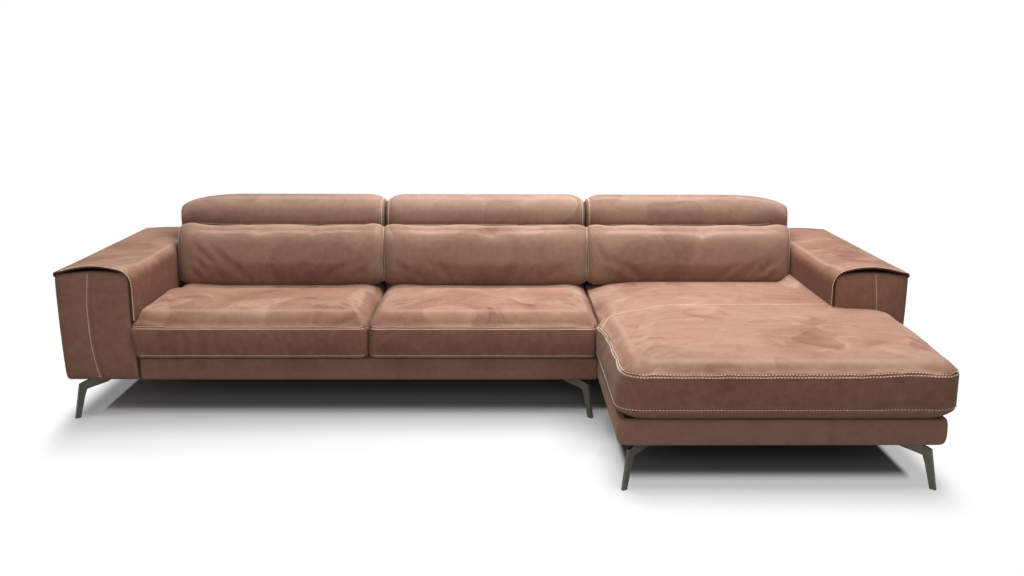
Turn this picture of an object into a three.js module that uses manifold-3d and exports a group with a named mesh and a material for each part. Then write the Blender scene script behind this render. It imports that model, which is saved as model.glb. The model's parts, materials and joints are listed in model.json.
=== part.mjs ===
// A corner sofa in nubuck leather: two seats with a left arm, bolted to a chaise seat with a right
// arm. Each of the three backs has a headrest that tilts up on a pair of ratchet hinges.
// Millimetres. X runs across the sofa, Y from the front to the back, Z up from the floor.

import * as THREE from 'three';
import { LoftGeometry } from 'three/addons/geometries/LoftGeometry.js';
import { mergeVertices } from 'three/addons/utils/BufferGeometryUtils.js';
import Module from 'manifold-3d';

const wasm = await Module();
wasm.setup();

// The whole sofa
const overallWidth = 3100;
const sofaDepth = 1050;
const chaiseReach = 690;
const floorGap = 150;
const armHeight = 555;
const armWidth = 278;
const seatCount = 3;
const fit = 0.3;

// Upholstery over the frames, and the thin cloth under them
const padding = 20;
const clothThickness = 1.5;
const webThickness = 2.5;
const webStrap = 70;
const webSpace = 110;

// Timber
const board = 18;
const rail = 22;
const railHeight = 70;
const baseHeight = 80;
const baseRecess = 30;
const baseCornerRound = 28;
const backPlane = 724;

// Arms: the outer side leans in towards the floor, and the front of the wrap lifts as a flap
const armLean = 15;
const armCornerRound = 12;
const armRearRound = 40;
const wrapRound = 45;
const flapThickness = 8;
const flapProud = 8;
const flapDepth = 30;
const flapRise = 36;
const flapFade = 230;
const flapGap = 2;

// Seat and chaise cushions
const sideGap = 1;
const seatOverhang = 40;
const seatTuck = 16;
const seatTuckHeight = 9;
const seatBand = 110;
const seatRise = 73;
const seatRearDrop = 36;
const seatDropLength = 150;
const seatDropLead = 24;
const seatEdgeRound = 70;
const seatFrontRound = 90;
const seatCornerRound = 26;
const seatBulge = 4;
const backCushionDepth = 165;
const chaiseOverhang = 20;
const chaiseSideOverhang = 10;
const chaiseWiden = 171;
const chaiseTuck = 32;
const chaiseTuckHeight = 33;
const chaiseBand = 113;
const chaiseRise = 53;
const chaiseShoulder = 10;
const chaiseCornerRound = 60;
const chaiseBulge = 2;
const chaiseSeatInset = 4;

// Back cushions
const backTopBelowHinge = 26;
const backCushionLean = 30;
const backCushionRound = 34;
const backCushionBulge = 32;
const backCushionClear = 4;
const backSeamDrawIn = 9;
const backBulgePower = 0.7;

// Headrests: the front is a roll about the hinge axis, so that it turns in its own space
const padRadius = 85;
const padLift = 20;
const pivotSetback = 21;
const padRearInset = 20;
const padRearHeight = 98;
const padRearRound = 38;
const padStep = 34;
const padGap = 8;
const padOverhang = 30;
const padOuterRound = 105;
const padInnerRound = 34;
const padOuterShare = 0.5;
const padInnerShare = 0.86;

// Ratchet hinges
const plate = 4;
const plateGap = 0.4;
const teeth = 9;
const toothTip = 27;
const toothDepth = 4.5;
const eyeRadius = 22;
const neckHalfWidth = 14;
const bracketDepth = 52;
const bracketDrop = 95;
const screwHole = 3.5;
const pinRadius = 5;
const pinHeadRadius = 8;
const pinHead = 2.5;
const pawlDepth = 7;
const pawlClear = 0.5;
const pawlAngle = 14;
const headrestTravel = 70;
const toothMargin = 8;
const armTailHeight = 18;
const armTailDrop = 20;
const armTailStart = 40;
const armFlange = 30;
const armFlangeThickness = 3;
const headrestBoardThickness = 12;
const headrestBoardInset = 44;
const slotClear = 2;
const pocketClear = 3;
const boardEndInset = 60;

// Legs: blades that stand in the diagonal of each corner
const legThickness = 10;
const legFoot = 19;
const legKneeHeight = 128;
const legKneeWidth = 27;
const legLean = 24;
const legKneeRise = 5;
const legStrutRoot = 23;
const legStrutDrop = 47;
const legStrutRise = 12;
const legStrutReach = 200;
const legPlateLength = 110;
const legPlateWidth = 60;
const legPlateThickness = 5;
const legHole = 4;
const footSide = 24;
const footFront = 12;

// Plates that bolt the two modules together
const joinLength = 120;
const joinWidth = 60;
const joinThickness = 4;
const joinSlot = 9;
const joinFrontY = 300;
const joinRearY = 860;

// Worked out from the sizes above
const halfWidth = overallWidth / 2;
const seatHalf = halfWidth - armWidth;
const seatWidth = 2 * seatHalf / seatCount;
const moduleJoint = seatHalf - seatWidth;
const baseTop = floorGap + baseHeight;
const frameBottom = floorGap + clothThickness + fit;
const deckTop = baseTop + fit + webThickness;
const cushionBottom = deckTop + fit;
const seatFront = baseRecess - seatOverhang;
const seatRear = backPlane - webThickness - 2 * fit;
const seatSeam = cushionBottom + seatTuckHeight + seatBand;
const seatCrown = seatSeam + seatRise;
const chaiseRight = seatHalf + chaiseWiden;
const frameRear = sofaDepth - padding - fit;
const frameTop = armHeight - padding - fit;
const pivotY = backPlane + pivotSetback;
const pivotZ = armHeight + padLift + padRadius;
const cutOver = 2 * padding;
const fullTurn = 2 * Math.PI;

// Which way an outline is drawn, and which way it is then pushed out
const acrossBasis = new THREE.Matrix4().makeBasis(
  new THREE.Vector3(0, 1, 0), new THREE.Vector3(0, 0, 1), new THREE.Vector3(1, 0, 0));
const depthBasis = new THREE.Matrix4().makeBasis(
  new THREE.Vector3(1, 0, 0), new THREE.Vector3(0, 0, 1), new THREE.Vector3(0, -1, 0));

function extrude(shape, length, curveSegments = 4) {
  return new THREE.ExtrudeGeometry(shape, { depth: length, bevelEnabled: false, curveSegments });
}

// An outline in Y and Z, from x0 to x1
function prismX(shape, x0, x1, curveSegments) {
  return extrude(shape, x1 - x0, curveSegments).applyMatrix4(acrossBasis).translate(x0, 0, 0);
}

// An outline in X and Z, from y0 to y1
function prismY(shape, y0, y1, curveSegments) {
  return extrude(shape, y1 - y0, curveSegments).applyMatrix4(depthBasis).translate(0, y1, 0);
}

// An outline in X and Y, from z0 to z1
function prismZ(shape, z0, z1, curveSegments) {
  return extrude(shape, z1 - z0, curveSegments).translate(0, 0, z0);
}

function block(x0, x1, y0, y1, z0, z1) {
  return new THREE.BoxGeometry(x1 - x0, y1 - y0, z1 - z0)
    .translate((x0 + x1) / 2, (y0 + y1) / 2, (z0 + z1) / 2);
}

function polygon(points) {
  return new THREE.Shape(points.map(([u, v]) => new THREE.Vector2(u, v)));
}

function rectangle(u0, u1, v0, v1) {
  return polygon([[u0, v0], [u1, v0], [u1, v1], [u0, v1]]);
}

const pinSides = 12;
const screwSides = 6;
const arcSteps = 3;
const chamberSteps = 6;

function roundHole(u, v, radius, sides) {
  return new THREE.Path(Array.from({ length: sides }, (_, index) => {
    const angle = -fullTurn * (index + 0.5) / sides;
    return new THREE.Vector2(u + radius * Math.cos(angle), v + radius * Math.sin(angle));
  }));
}

// Joins and cuts, made on closed solids
function toSolid(geometry) {
  const bare = new THREE.BufferGeometry();
  bare.setAttribute('position', geometry.attributes.position);
  bare.setIndex(geometry.index);
  const merged = mergeVertices(bare);
  return new wasm.Manifold(new wasm.Mesh({
    numProp: 3,
    vertProperties: new Float32Array(merged.attributes.position.array),
    triVerts: new Uint32Array(merged.index.array),
  }));
}

function toGeometry(solid) {
  const mesh = solid.getMesh();
  const geometry = new THREE.BufferGeometry();
  geometry.setAttribute('position', new THREE.BufferAttribute(mesh.vertProperties, 3));
  geometry.setIndex(new THREE.BufferAttribute(mesh.triVerts, 1));
  geometry.computeVertexNormals();
  return geometry;
}

function join(first, ...others) {
  return toGeometry(others.reduce((solid, other) => solid.add(toSolid(other)), toSolid(first)));
}

function cut(body, ...tools) {
  return toGeometry(tools.reduce((solid, tool) => solid.subtract(toSolid(tool)), toSolid(body)));
}

// Soft forms: a loft of closed rings, with stations set close together in the rounded ends
const roundingShares = [0, 0.1, 0.32, 0.65];
const middleShares = [0, 0.25, 0.5, 0.75, 1];

function quarterRound(distance, radius) {
  const share = Math.min(Math.max(distance / radius, 0), 1);
  return Math.sqrt(1 - (1 - share) ** 2);
}

function smoothShare(distance, length) {
  const share = Math.min(Math.max(distance / length, 0), 1);
  return share * share * (3 - 2 * share);
}

function stations(start, end, startRound, endRound) {
  const head = roundingShares.map((share) => start + share * startRound);
  const tail = roundingShares.map((share) => end - share * endRound).reverse();
  const from = start + startRound;
  const to = end - endRound;
  return [...head, ...middleShares.map((share) => from + share * (to - from)), ...tail];
}

function loft(rings) {
  return new LoftGeometry(rings, { capStart: true, capEnd: true });
}

// Timber of the base: rails round the edge and across, a hand's breadth or two apart
function crossRails(from, to, count) {
  return Array.from({ length: count }, (_, index) => [
    from + index * (to - from) / count,
    from + (index + 1) * (to - from) / count,
  ]);
}

function railBays(from, to, count, front, rear) {
  return crossRails(from, to, count).map(([left, right]) => rectangle(
    left + rail / 2, right - rail / 2, front + rail, rear - rail));
}

// A flat plate with rectangular openings, in plan from z0 to z1
function piercedPlan(shape, openings, z0, z1) {
  return cut(prismZ(shape, z0, z1),
    ...openings.map((opening) => prismZ(opening, z0 - cutOver, z1 + cutOver)));
}

const bayCount = 3;
const baseFront = baseRecess + padding + fit;
const chaiseRear = -flapProud - fit;

function baseFrameLeft() {
  const left = -seatHalf + fit;
  const right = moduleJoint - fit / 2;
  const shape = rectangle(left, right, baseFront, frameRear);
  const bays = railBays(
    left + rail / 2, right - rail / 2, 2 * bayCount, baseFront, frameRear);
  return piercedPlan(shape, bays, frameBottom, baseTop);
}

const chaiseInnerLeft = moduleJoint + padding + fit;
const chaiseInnerRight = chaiseRight - padding - fit;
const chaiseInnerFront = -chaiseReach + padding + fit;
const chaiseSeatRight = seatHalf - fit;

// Plan of what fits inside the chaise's cover
function chaiseUnderPlan() {
  const seatLeft = moduleJoint + fit / 2;
  return polygon([
    [chaiseInnerLeft, chaiseInnerFront], [chaiseInnerRight, chaiseInnerFront],
    [chaiseInnerRight, chaiseRear], [chaiseSeatRight, chaiseRear],
    [chaiseSeatRight, frameRear], [seatLeft, frameRear],
    [seatLeft, baseRecess + fit], [chaiseInnerLeft, baseRecess + fit],
  ]);
}

function baseFrameChaise() {
  const left = chaiseInnerLeft;
  const bays = [
    ...railBays(left + rail / 2, chaiseInnerRight - rail / 2, bayCount + 1,
      chaiseInnerFront, chaiseRear),
    ...railBays(left, chaiseSeatRight - rail / 2, bayCount, baseFront - rail, frameRear),
  ];
  return piercedPlan(chaiseUnderPlan(), bays, frameBottom, baseTop);
}

function baseCoverLeft() {
  const shape = new THREE.Shape();
  shape.moveTo(baseRecess + padding, floorGap);
  shape.lineTo(baseRecess + padding, baseTop);
  shape.lineTo(baseRecess, baseTop);
  shape.lineTo(baseRecess, floorGap + padding / 2);
  shape.quadraticCurveTo(baseRecess, floorGap, baseRecess + padding / 2, floorGap);
  return prismX(shape, -seatHalf + fit, moduleJoint - fit / 2);
}

// A band of upholstery round three sides of the chaise base
function baseCoverChaise() {
  const left = moduleJoint + fit / 2;
  const front = -chaiseReach;
  const shape = new THREE.Shape();
  shape.moveTo(left, baseRecess);
  shape.lineTo(left, front + baseCornerRound);
  shape.quadraticCurveTo(left, front, left + baseCornerRound, front);
  shape.lineTo(chaiseRight - baseCornerRound, front);
  shape.quadraticCurveTo(chaiseRight, front, chaiseRight, front + baseCornerRound);
  shape.lineTo(chaiseRight, chaiseRear);
  shape.lineTo(chaiseRight - padding, chaiseRear);
  shape.lineTo(chaiseRight - padding, front + padding);
  shape.lineTo(left + padding, front + padding);
  shape.lineTo(left + padding, baseRecess);
  return prismZ(shape, floorGap, baseTop);
}

// The arm narrows towards the floor: this is its outer face at a height
function armOuter(height) {
  return halfWidth - armLean * (armHeight - height) / (armHeight - floorGap);
}

function dustClothSeats() {
  const shape = rectangle(-seatHalf + fit, moduleJoint - fit / 2, baseFront, frameRear);
  return prismZ(shape, floorGap, floorGap + clothThickness);
}

function dustClothChaise() {
  return prismZ(chaiseUnderPlan(), floorGap, floorGap + clothThickness);
}

// Crossed elastic straps, as one flat net with square gaps
function netGaps(u0, u1, v0, v1) {
  const gaps = [];
  const pitch = webStrap + webSpace;
  const columns = Math.max(Math.round((u1 - u0 - webStrap) / pitch), 1);
  const rows = Math.max(Math.round((v1 - v0 - webStrap) / pitch), 1);
  const stepU = (u1 - u0 - webStrap) / columns;
  const stepV = (v1 - v0 - webStrap) / rows;
  for (let column = 0; column < columns; column += 1) {
    for (let row = 0; row < rows; row += 1) {
      const left = u0 + webStrap + column * stepU;
      const low = v0 + webStrap + row * stepV;
      gaps.push(rectangle(left, left + stepU - webStrap, low, low + stepV - webStrap));
    }
  }
  return gaps;
}

function seatWebLeft() {
  const left = -seatHalf + 2 * fit;
  const right = moduleJoint - fit;
  const rear = backPlane - webThickness;
  const gaps = netGaps(left, right, baseFront, rear);
  return piercedPlan(rectangle(left, right, baseFront, rear), gaps, baseTop + fit, deckTop);
}

function seatWebChaise() {
  const left = chaiseInnerLeft + fit;
  const right = chaiseInnerRight - fit;
  const seatRight = chaiseSeatRight - fit;
  const front = chaiseInnerFront + fit;
  const rear = backPlane - webThickness;
  const shape = polygon([
    [left, front], [right, front], [right, chaiseRear], [seatRight, chaiseRear],
    [seatRight, rear], [left, rear],
  ]);
  const gaps = [
    ...netGaps(left, right, front, chaiseRear),
    ...netGaps(left, seatRight, -webStrap, rear),
  ];
  return piercedPlan(shape, gaps, baseTop + fit, deckTop);
}

// The arm, drawn as the right one: a carcass of boards, a panel round it and a wrap over it
const carcassInner = seatHalf + padding + fit;
const carcassWindows = 3;
const carcassFront = flapDepth + fit;
const carcassTop = frameTop;

function armCarcassOutline(inset, bottom, top) {
  const leanAt = (height) => armOuter(height) - padding - 2 * fit - inset;
  const inner = carcassInner + inset;
  const chamfer = Math.max(wrapRound - padding, fit);
  return polygon([
    [inner, bottom], [leanAt(bottom), bottom], [leanAt(top), top],
    [inner + chamfer, top], [inner, top - chamfer],
  ]);
}

function armCarcass() {
  const outer = prismY(armCarcassOutline(0, floorGap, carcassTop), carcassFront, frameRear);
  const hollow = prismY(
    armCarcassOutline(board, floorGap + board, carcassTop - board),
    carcassFront - cutOver, frameRear + cutOver);
  const length = frameRear - carcassFront;
  const window = (length - (carcassWindows + 1) * railHeight) / carcassWindows;
  const windows = Array.from({ length: carcassWindows }, (_, index) => {
    const front = carcassFront + railHeight + index * (window + railHeight);
    return block(seatHalf, halfWidth, front, front + window,
      floorGap + railHeight, carcassTop - railHeight);
  });
  return cut(outer, hollow, ...windows);
}

// Plan of the panel: front, outer side and back of the arm as one folded band
function armPanelPlan() {
  const shape = new THREE.Shape();
  const inner = seatHalf + flapThickness + flapGap;
  const rearInner = seatHalf + padding + fit;
  shape.moveTo(inner, 0);
  shape.lineTo(halfWidth - armCornerRound, 0);
  shape.quadraticCurveTo(halfWidth, 0, halfWidth, armCornerRound);
  shape.lineTo(halfWidth, sofaDepth - armRearRound);
  shape.quadraticCurveTo(halfWidth, sofaDepth, halfWidth - armRearRound, sofaDepth);
  shape.lineTo(rearInner, sofaDepth);
  shape.lineTo(rearInner, sofaDepth - padding);
  shape.lineTo(halfWidth - padding, sofaDepth - padding);
  shape.lineTo(halfWidth - padding, padding);
  shape.lineTo(inner, padding);
  return shape;
}

function leanIn(geometry) {
  const position = geometry.attributes.position;
  for (let index = 0; index < position.count; index += 1) {
    const fromInner = Math.max(position.getX(index) - carcassInner, 0);
    const lean = halfWidth - armOuter(position.getZ(index));
    position.setX(index, position.getX(index)
      - lean * fromInner / (halfWidth - carcassInner));
  }
  return geometry;
}

// What lies outside the wrap's rounded edge, to take off the panel's ends
function outsideWrapRound(thickness, y0, y1) {
  const centreX = seatHalf + wrapRound;
  const centreZ = armHeight - wrapRound;
  const radius = wrapRound - thickness - flapGap / 2;
  const far = wrapRound + cutOver;
  const shape = new THREE.Shape();
  shape.moveTo(centreX - far, centreZ);
  shape.lineTo(centreX - radius, centreZ);
  shape.absarc(centreX, centreZ, radius, Math.PI, Math.PI / 2, true);
  shape.lineTo(centreX, centreZ + far);
  shape.lineTo(centreX - far, centreZ + far);
  return prismY(shape, y0, y1);
}

function armPanel() {
  const plan = armPanelPlan();
  const wall = prismZ(plan, floorGap, frameTop);
  const lip = prismZ(rectangle(seatHalf + flapThickness + flapGap, halfWidth - armCornerRound,
    0, padding), frameTop - padding, armHeight - flapThickness - flapGap);
  return cut(join(leanIn(wall), leanIn(lip)),
    outsideWrapRound(flapThickness, -cutOver, padding + cutOver),
    outsideWrapRound(padding, sofaDepth - padding - cutOver, sofaDepth + cutOver));
}

// How far the flap has lifted, at a share of the arm's width and a distance from its front
function flapLift(share, distance) {
  return flapRise * Math.sin(Math.PI * share) * (1 - smoothShare(distance, flapFade));
}

const wrapArcSteps = 5;
const wrapTopSteps = 6;
const sleeveThickness = padding;

// One ring of the wrap: up the inner side, over the top, and back underneath
function wrapRing(y, thickness, liftsUnderside) {
  const over = [];
  const under = [];
  const straight = halfWidth - seatHalf - wrapRound;
  const distance = y + flapProud;
  const quarter = Math.PI / 2;
  const innerRound = wrapRound - thickness;
  over.push([seatHalf, floorGap]);
  under.push([seatHalf + thickness, floorGap]);
  for (let step = 0; step <= wrapArcSteps; step += 1) {
    const angle = quarter * step / wrapArcSteps;
    const along = wrapRound * (1 - Math.cos(angle));
    const lift = flapLift(along / armWidth, distance);
    const lowLift = liftsUnderside ? lift : 0;
    over.push([seatHalf + along, armHeight - wrapRound * (1 - Math.sin(angle)) + lift]);
    under.push([seatHalf + wrapRound - innerRound * Math.cos(angle),
      armHeight - wrapRound + innerRound * Math.sin(angle) + lowLift]);
  }
  for (let step = 1; step <= wrapTopSteps; step += 1) {
    const along = wrapRound + straight * step / wrapTopSteps;
    const lift = flapLift(along / armWidth, distance);
    over.push([seatHalf + along, armHeight + lift]);
    under.push([seatHalf + along, armHeight - thickness + (liftsUnderside ? lift : 0)]);
  }
  return [...over, ...under.reverse()].map(([x, z]) => new THREE.Vector3(x, y, z));
}

const fadeShares = [0.3, 0.6, 1];

function armWrap() {
  const flapRear = flapDepth - flapProud;
  const fadeFrom = flapRear + flapGap;
  const rings = [
    wrapRing(-flapProud, flapThickness, true),
    wrapRing(flapRear, flapThickness, true),
    wrapRing(fadeFrom, sleeveThickness, false),
    ...fadeShares.map((share) => wrapRing(
      fadeFrom + share * (flapFade - fadeFrom), sleeveThickness, false)),
    wrapRing(sofaDepth - armRearRound, sleeveThickness, false),
  ];
  const last = wrapRing(sofaDepth, sleeveThickness, false);
  for (const point of last) {
    point.x = Math.min(point.x, halfWidth - armRearRound / 2);
  }
  return loft([...rings, last]);
}

// Timber of the backs: profiled ribs joined by rails
function backRib(x0, x1) {
  const shape = rectangle(backPlane, frameRear, baseTop + fit, frameTop);
  shape.holes.push(rectangle(
    backPlane + railHeight, frameRear - railHeight,
    baseTop + railHeight, frameTop - railHeight));
  return prismX(shape, x0, x1);
}

function backFrame(left, right, centres) {
  const between = centres.slice(1).map((centre) => centre - seatWidth / 2);
  const besideHeadrests = centres.flatMap((centre) => [centre - ribOffset, centre + ribOffset]);
  const places = [left + board / 2, ...between, ...besideHeadrests, right - board / 2];
  const ribs = places.map((x) => backRib(x - board / 2, x + board / 2));
  const rails = [
    [backPlane, backPlane + rail, baseTop + fit, baseTop + fit + railHeight],
    [backPlane, backPlane + rail, frameTop - railHeight, frameTop],
    [frameRear - rail, frameRear, baseTop + fit, baseTop + fit + railHeight],
    [frameRear - rail, frameRear, frameTop - railHeight, frameTop],
  ].map(([front, rear, low, high]) => block(left, right, front, rear, low, high));
  return join(...ribs, ...rails);
}

function backWeb(left, right) {
  const low = baseTop + railHeight / 2;
  const high = frameTop;
  const front = backPlane - fit - webThickness;
  const gaps = netGaps(left, right, low, high);
  return cut(prismY(rectangle(left, right, low, high), front, backPlane - fit),
    ...gaps.map((gap) => prismY(gap, front - cutOver, backPlane + cutOver)));
}

function backCoverOutline() {
  const shape = new THREE.Shape();
  shape.moveTo(sofaDepth - padding, floorGap);
  shape.lineTo(sofaDepth, floorGap);
  shape.lineTo(sofaDepth, armHeight - padding);
  shape.quadraticCurveTo(sofaDepth, armHeight, sofaDepth - padding, armHeight);
  shape.lineTo(backPlane + padding / 2, armHeight);
  shape.quadraticCurveTo(backPlane, armHeight, backPlane, armHeight - padding / 2);
  shape.lineTo(backPlane, armHeight - padding);
  shape.lineTo(sofaDepth - padding, armHeight - padding);
  return shape;
}

// The ratchets stand on the outer faces of the ribs at a sixth of the seat from its middle
const ribOffset = seatWidth / (2 * bayCount);
const bracketX = ribOffset + board / 2 + fit;
const armX = bracketX + plate + plateGap;
const bracketY = backPlane + rail + fit;

function backCover(left, right, seatCentres) {
  const slots = seatCentres.flatMap((centre) => [-1, 1].map((side) => {
    const near = centre + side * (bracketX - slotClear);
    const far = centre + side * (bracketX + plate + slotClear);
    return block(Math.min(near, far), Math.max(near, far), bracketY - 2 * slotClear,
      bracketY + bracketDepth + slotClear, frameTop, armHeight + cutOver);
  }));
  return cut(prismX(backCoverOutline(), left, right), ...slots);
}

// Seat cushion: one ring in Y and Z for each station across it
const crownDepthShares = [0.08, 0.28, 0.55, 1];
const dropShares = [0, 0.3, 0.65, 1];

// How far the cushion has sunk under the back cushion, from 0 to 1
function seatDrop(fromFront, depth) {
  const from = depth - backCushionDepth - seatDropLead - seatDropLength;
  return smoothShare(fromFront - from, seatDropLength);
}

function dropPlaces(depth) {
  const from = depth - backCushionDepth - seatDropLead - seatDropLength;
  return dropShares.map((share) => from + share * seatDropLength);
}

function seatTop(fromSide, fromFront, depth) {
  const rise = seatRise * quarterRound(fromFront, seatFrontRound);
  const drop = seatRearDrop * seatDrop(fromFront, depth);
  return seatSeam + (rise - drop) * quarterRound(fromSide, seatEdgeRound);
}

function seatRing(x, fromSide) {
  const corner = seatCornerRound * (1 - quarterRound(fromSide, seatCornerRound));
  const front = seatFront + corner;
  const depth = seatRear - front;
  const reach = seatFrontRound;
  const ring = [
    [front + seatTuck, cushionBottom],
    [seatRear, cushionBottom],
    [seatRear, seatTop(fromSide, depth, depth)],
  ];
  for (const inward of dropPlaces(depth).reverse()) {
    ring.push([front + inward, seatTop(fromSide, inward, depth)]);
  }
  for (const share of [...crownDepthShares].reverse()) {
    ring.push([front + share * reach, seatTop(fromSide, share * reach, depth)]);
  }
  ring.push([front, seatSeam]);
  ring.push([front - seatBulge, seatSeam - seatBand / 2]);
  ring.push([front, cushionBottom + seatTuckHeight]);
  return ring.map(([y, z]) => new THREE.Vector3(x, y, z));
}

function seatCushion() {
  const half = seatWidth / 2 - sideGap;
  const places = stations(-half, half, seatEdgeRound, seatEdgeRound);
  return loft(places.map((x) => seatRing(x, half - Math.abs(x))));
}

// Chaise cushion: one ring in X and Z for each station along it, as wide as its place allows
const chaiseSeam = cushionBottom + chaiseTuckHeight + chaiseBand;
const chaiseFront = -(chaiseReach + chaiseOverhang);
const chaiseRearDrop = chaiseSeam + chaiseRise - (seatCrown - seatRearDrop);
const ringShares = [0.04, 0.12, 0.3, 0.5, 0.7, 0.88, 0.96];

function chaiseRing(y, left, right) {
  const fromFront = y - chaiseFront;
  const depth = seatRear - chaiseFront;
  const frontRound = quarterRound(fromFront, seatFrontRound);
  const drop = seatDrop(fromFront, depth);
  const height = (x) => {
    const side = quarterRound(Math.min(x - left, right - x), seatEdgeRound);
    return chaiseSeam + side * (chaiseRise * frontRound - chaiseRearDrop * drop);
  };
  const tuck = chaiseTuck;
  const ring = [
    [left + tuck, cushionBottom],
    [left, cushionBottom + chaiseTuckHeight],
    [left - chaiseBulge, chaiseSeam - chaiseBand / 2],
    [left, chaiseSeam],
    ...ringShares.map((share) => {
      const x = left + share * (right - left);
      return [x, height(x)];
    }),
    [right, chaiseSeam],
    [right + chaiseBulge, chaiseSeam - chaiseBand / 2],
    [right, cushionBottom + chaiseTuckHeight],
    [right - tuck, cushionBottom],
  ];
  return ring.map(([x, z]) => new THREE.Vector3(x, y, z));
}

function chaiseCushion() {
  const outLeft = moduleJoint - chaiseSideOverhang;
  const outRight = chaiseRight + chaiseOverhang;
  const inLeft = moduleJoint + chaiseSeatInset;
  const inRight = seatHalf - chaiseSeatInset;
  const meets = -flapProud - chaiseShoulder;
  const rows = stations(chaiseFront, meets - chaiseShoulder, chaiseCornerRound, chaiseShoulder);
  const rings = rows.map((y) => {
    const corner = chaiseCornerRound * (1 - quarterRound(y - chaiseFront, chaiseCornerRound));
    return chaiseRing(y, outLeft + corner, outRight - corner);
  });
  rings.push(chaiseRing(meets, inLeft, inRight));
  rings.push(chaiseRing(meets / 2, inLeft, inRight));
  for (const inward of dropPlaces(seatRear - chaiseFront)) {
    rings.push(chaiseRing(chaiseFront + inward, inLeft, inRight));
  }
  rings.push(chaiseRing(seatRear, inLeft, inRight));
  return loft(rings);
}

// Back cushion: leans back, bulges to the front, and is hollowed behind for the headrest's roll
const backCushionBottom = seatCrown - seatRearDrop + fit;
const backCushionTop = pivotZ - backTopBelowHinge;
const backHeightShares = [0.97, 0.88, 0.7, 0.45, 0.2, 0.06];
const backRearShares = [0, 0.5, 0.76, 0.88, 1];

function rollFront(height) {
  const rise = height - pivotZ;
  const reach = padRadius + backCushionClear;
  return pivotY - Math.sqrt(Math.max(reach ** 2 - rise ** 2, 0));
}

function backCushionRear(height) {
  const low = pivotZ - padRadius - backCushionClear;
  return height > low ? Math.min(seatRear, rollFront(height)) : seatRear;
}

function backRing(x, fromSide) {
  const side = quarterRound(fromSide, backCushionRound);
  const drawIn = backSeamDrawIn * (1 - side);
  const low = backCushionBottom + drawIn;
  const high = backCushionTop - drawIn;
  const face = (height) => {
    const share = (height - low) / (high - low);
    const bulge = backCushionBulge * side * Math.sin(Math.PI * share) ** backBulgePower;
    return seatRear - backCushionDepth + backCushionLean * share - bulge
      + backCushionRound * (1 - side);
  };
  const topRear = backCushionRear(high);
  const ring = backHeightShares.map((share) => {
    const height = low + share * (high - low);
    return [face(height), height];
  });
  ring.push([face(low) + backSeamDrawIn, low]);
  const rears = backRearShares.map((share) => {
    const height = low + share * (high - low);
    return [backCushionRear(height), height];
  });
  ring.push(...rears);
  ring.push([(face(high) + topRear) / 2, high + backCushionClear * side]);
  return ring.map(([y, z]) => new THREE.Vector3(x, y, z));
}

function backCushion() {
  const half = seatWidth / 2 - sideGap;
  const places = stations(-half, half, backCushionRound, backCushionRound);
  return loft(places.map((x) => backRing(x, half - Math.abs(x))));
}

// Headrest pad: its outline about the hinge axis, in Y and Z
const padCurveSteps = 5;
const padRear = sofaDepth - padRearInset - pivotY;
const padUnder = -(padRadius + padLift) + fit;

function padOutline() {
  const shape = new THREE.Shape();
  const rearTop = padUnder + padRearHeight;
  shape.moveTo(0, padRadius);
  shape.absarc(0, 0, padRadius, Math.PI / 2, 1.5 * Math.PI, false);
  shape.lineTo(padStep, padUnder);
  shape.lineTo(padRear - padRearRound, padUnder);
  shape.quadraticCurveTo(padRear, padUnder, padRear, padUnder + padRearHeight / 2);
  shape.quadraticCurveTo(padRear, rearTop, padRear - padRearRound, rearTop + padRearRound / 2);
  shape.quadraticCurveTo(padRear / 2, padRadius, 0, padRadius);
  return shape.getPoints(padCurveSteps).slice(0, -1);
}

function headrestPad(leftEnd, rightEnd, leftOuter, rightOuter) {
  const leftRound = leftOuter ? padOuterRound : padInnerRound;
  const rightRound = rightOuter ? padOuterRound : padInnerRound;
  const leftShare = leftOuter ? padOuterShare : padInnerShare;
  const rightShare = rightOuter ? padOuterShare : padInnerShare;
  const outline = padOutline();
  const sections = stations(leftEnd, rightEnd, leftRound, rightRound).map((x) => {
    const left = leftShare + (1 - leftShare) * quarterRound(x - leftEnd, leftRound);
    const right = rightShare + (1 - rightShare) * quarterRound(rightEnd - x, rightRound);
    const scale = Math.min(left, right);
    return outline.map((point) => new THREE.Vector3(
      x, pivotY + scale * point.x, pivotZ + scale * point.y));
  });
  return loft(sections);
}

// Ratchet hinge, drawn on the right of its headrest, about the hinge axis
const neckAngle = Math.atan2(frameTop - pivotZ, bracketY + bracketDepth / 2 - pivotY);
const travel = THREE.MathUtils.degToRad(headrestTravel);
const pawlFrom = THREE.MathUtils.degToRad(pawlAngle);
const toothStart = pawlFrom - THREE.MathUtils.degToRad(toothMargin);
const toothEnd = pawlFrom + travel + THREE.MathUtils.degToRad(2 * toothMargin);
const headrestBoardUnder = pivotZ - armTailDrop + fit;
const headrestBoardRear = pivotY + padRear - headrestBoardInset;
const headrestBoardFront = pivotY + headrestBoardInset;

function polar(radius, angle) {
  return [pivotY + radius * Math.cos(angle), pivotZ + radius * Math.sin(angle)];
}

// A point so far out from the axis along an angle, and so far to the side of that line
function beside(along, side, angle) {
  return [
    pivotY + along * Math.cos(angle) - side * Math.sin(angle),
    pivotZ + along * Math.sin(angle) + side * Math.cos(angle),
  ];
}

const eyeStepShares = [0.25, 0.5, 0.75, 1];
const bracketScrewShares = [0.3, 0.75];
const toothPeakShare = 0.25;

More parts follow.
